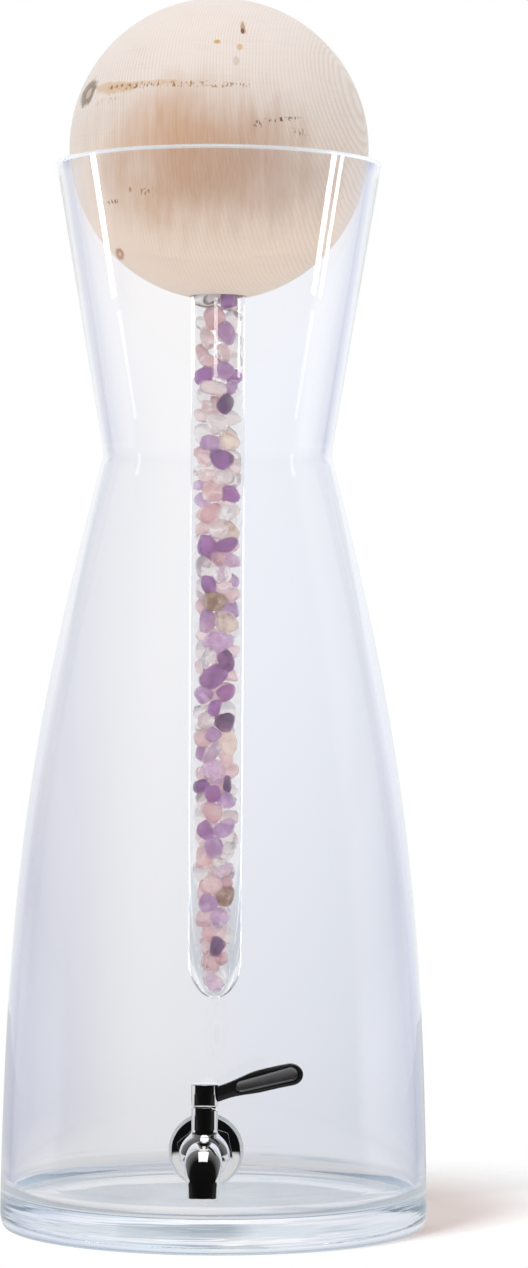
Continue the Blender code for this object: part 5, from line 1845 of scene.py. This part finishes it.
    def backdrop(self, kit: NodeKit, way: Socket, path: Outputs) -> Socket:
        """What shows through the glass: a bright backdrop with darker sides, and light led in the wall."""
        x, y, z = kit.axes(way)
        shifted = kit.plus(x, self.light_left)
        aside = kit.most(kit.times(shifted, -1.0), kit.times(shifted, 0.25))
        aside = kit.most(aside, kit.calc("SUBTRACT", kit.times(shifted, 1.2), 0.3))
        green, blue = self.edge_blue
        high, low = (
            kit.ramp(aside, [(spot, (tone, tone**green, tone**blue)) for spot, tone in stops])
            for stops in (self.edges_high, self.edges_low)
        )
        edges = kit.mix(kit.span(z, *self.edges_horizon), low, high)
        edges = kit.mix(kit.span(z, *self.foot_band, 0.0, self.foot_white), edges, WHITE)
        sides = kit.mix(kit.span(x, *self.backdrop_sides), self.backdrop_left, self.backdrop_right)
        rise = kit.ramp(kit.span(z, -0.5, 0.5), [(0.5 + spot, tone) for spot, tone in self.backdrop_rise])
        tone = kit.mix(1.0, kit.mix(1.0, edges, sides, "MULTIPLY"), rise, "MULTIPLY")
        behind = kit.span(y, *self.behind_sides, *self.behind_tones)
        behind = kit.most(behind, kit.span(z, *self.behind_rise, 0.0, self.behind_high))
        tone = kit.node("VectorMath", {0: tone, "Scale": behind}, operation="SCALE").outputs[0]
        steep = kit.calc("ABSOLUTE", z)
        level = kit.times(kit.span(steep, *self.led_start), kit.span(steep, *self.led_end, 1.0, 0.0))
        forward = kit.span(y, *self.led_ahead)
        led_tone = kit.mix(kit.span(aside, *self.led_aside), self.led_middle, self.led_side)
        led_tone = kit.mix(forward, led_tone, self.led_front)
        led = kit.times(kit.above(path["Glossy Depth"], 0.5), kit.most(level, forward))
        deep = kit.times(kit.above(path["Transmission Depth"], self.vial_depth), kit.span(z, *self.vial_rise))
        return kit.mix(deep, kit.mix(led, tone, led_tone), self.vial_tone)

    def build_world(self) -> None:
        """Even light on matt surfaces, with the room for shiny ones and the backdrop for clear ones."""
        world = bpy.data.worlds.new("studio")
        world.use_nodes = True
        kit = NodeKit(world.node_tree)
        way = kit.node("TexCoord").outputs["Generated"]
        path = kit.node("LightPath").outputs
        first = kit.calc("LESS_THAN", path["Diffuse Depth"], 0.5)
        fill = kit.span(kit.axes(way)[0], -1.0, 1.0)
        light = kit.mix(fill, (self.ambient_left,) * 3, (self.ambient_right,) * 3)
        light = kit.mix(kit.times(path["Is Glossy Ray"], first), light, self.room(kit, way, path))
        light = kit.mix(kit.times(path["Is Transmission Ray"], first), light, self.backdrop(kit, way, path))
        light = kit.mix(path["Is Camera Ray"], light, WHITE)
        kit.feed(world.node_tree.nodes["Background"].inputs["Color"], light)
        bpy.context.scene.world = world

    def light(self, lit: Lit, *pieces: Piece) -> None:
        """Let the lamps of a set light these pieces."""
        for piece in pieces:
            bpy.data.collections[lit.value].objects.link(piece)

    def lamp(self, name: str, spot: Colour, aim: Colour, size: Pair, bright: float) -> Piece:
        """Add a rectangular soft lamp.

        Args:
            name: Name of the lamp.
            spot: Its place.
            aim: The point it faces.
            size: Its width and height.
            bright: Brightness of its face, where 1 is plain white.

        Returns:
            The lamp.
        """
        data = bpy.data.lights.new(name, "AREA")
        data.shape = "RECTANGLE"
        data.size, data.size_y = size
        data.energy = bright * math.pi * size[0] * size[1]
        lamp = new_object(name, data)
        lamp.location = spot
        lamp.rotation_euler = (Vector(aim) - Vector(spot)).to_track_quat("-Z", "Y").to_euler()
        lamp.visible_transmission = False
        return lamp

    def build(self) -> None:
        """Build the camera, the table, the world and the lamps."""
        bpy.context.scene.view_settings.view_transform = "Standard"
        sets = {lit: bpy.data.collections.new(lit.value) for lit in Lit}
        self.build_camera()
        self.build_table()
        self.build_world()
        self.lamp("overhead_bank", (0.0, -0.42, 1.5), (0.0, -0.1, 0.0), (0.75, 1.1), 1.1)
        key = self.lamp("table_key", (-0.8, -1.15, 1.15), (0.0, 0.0, 0.0), (0.7, 0.7), 76.0)
        key.visible_glossy = False
        key.light_linking.receiver_collection = sets[Lit.TABLE]
        for strip in STRIPS:
            lamp = self.lamp(strip.name, strip.spot, strip.aim, strip.size, strip.bright)
            lamp.visible_camera = False
            lamp.light_linking.receiver_collection = sets[strip.lit]


def main() -> None:
    """Build the studio and every sub-assembly in order."""
    logging.basicConfig(level=logging.INFO)
    studio = Studio()
    studio.build()
    carafe = Carafe()
    studio.light(Lit.GLASS, carafe.build())
    vial, stones = Stopper().build()
    studio.light(Lit.VIAL, vial)
    studio.light(Lit.STONES, *stones)
    Tap(carafe).build()


if __name__ == "__main__":
    main()
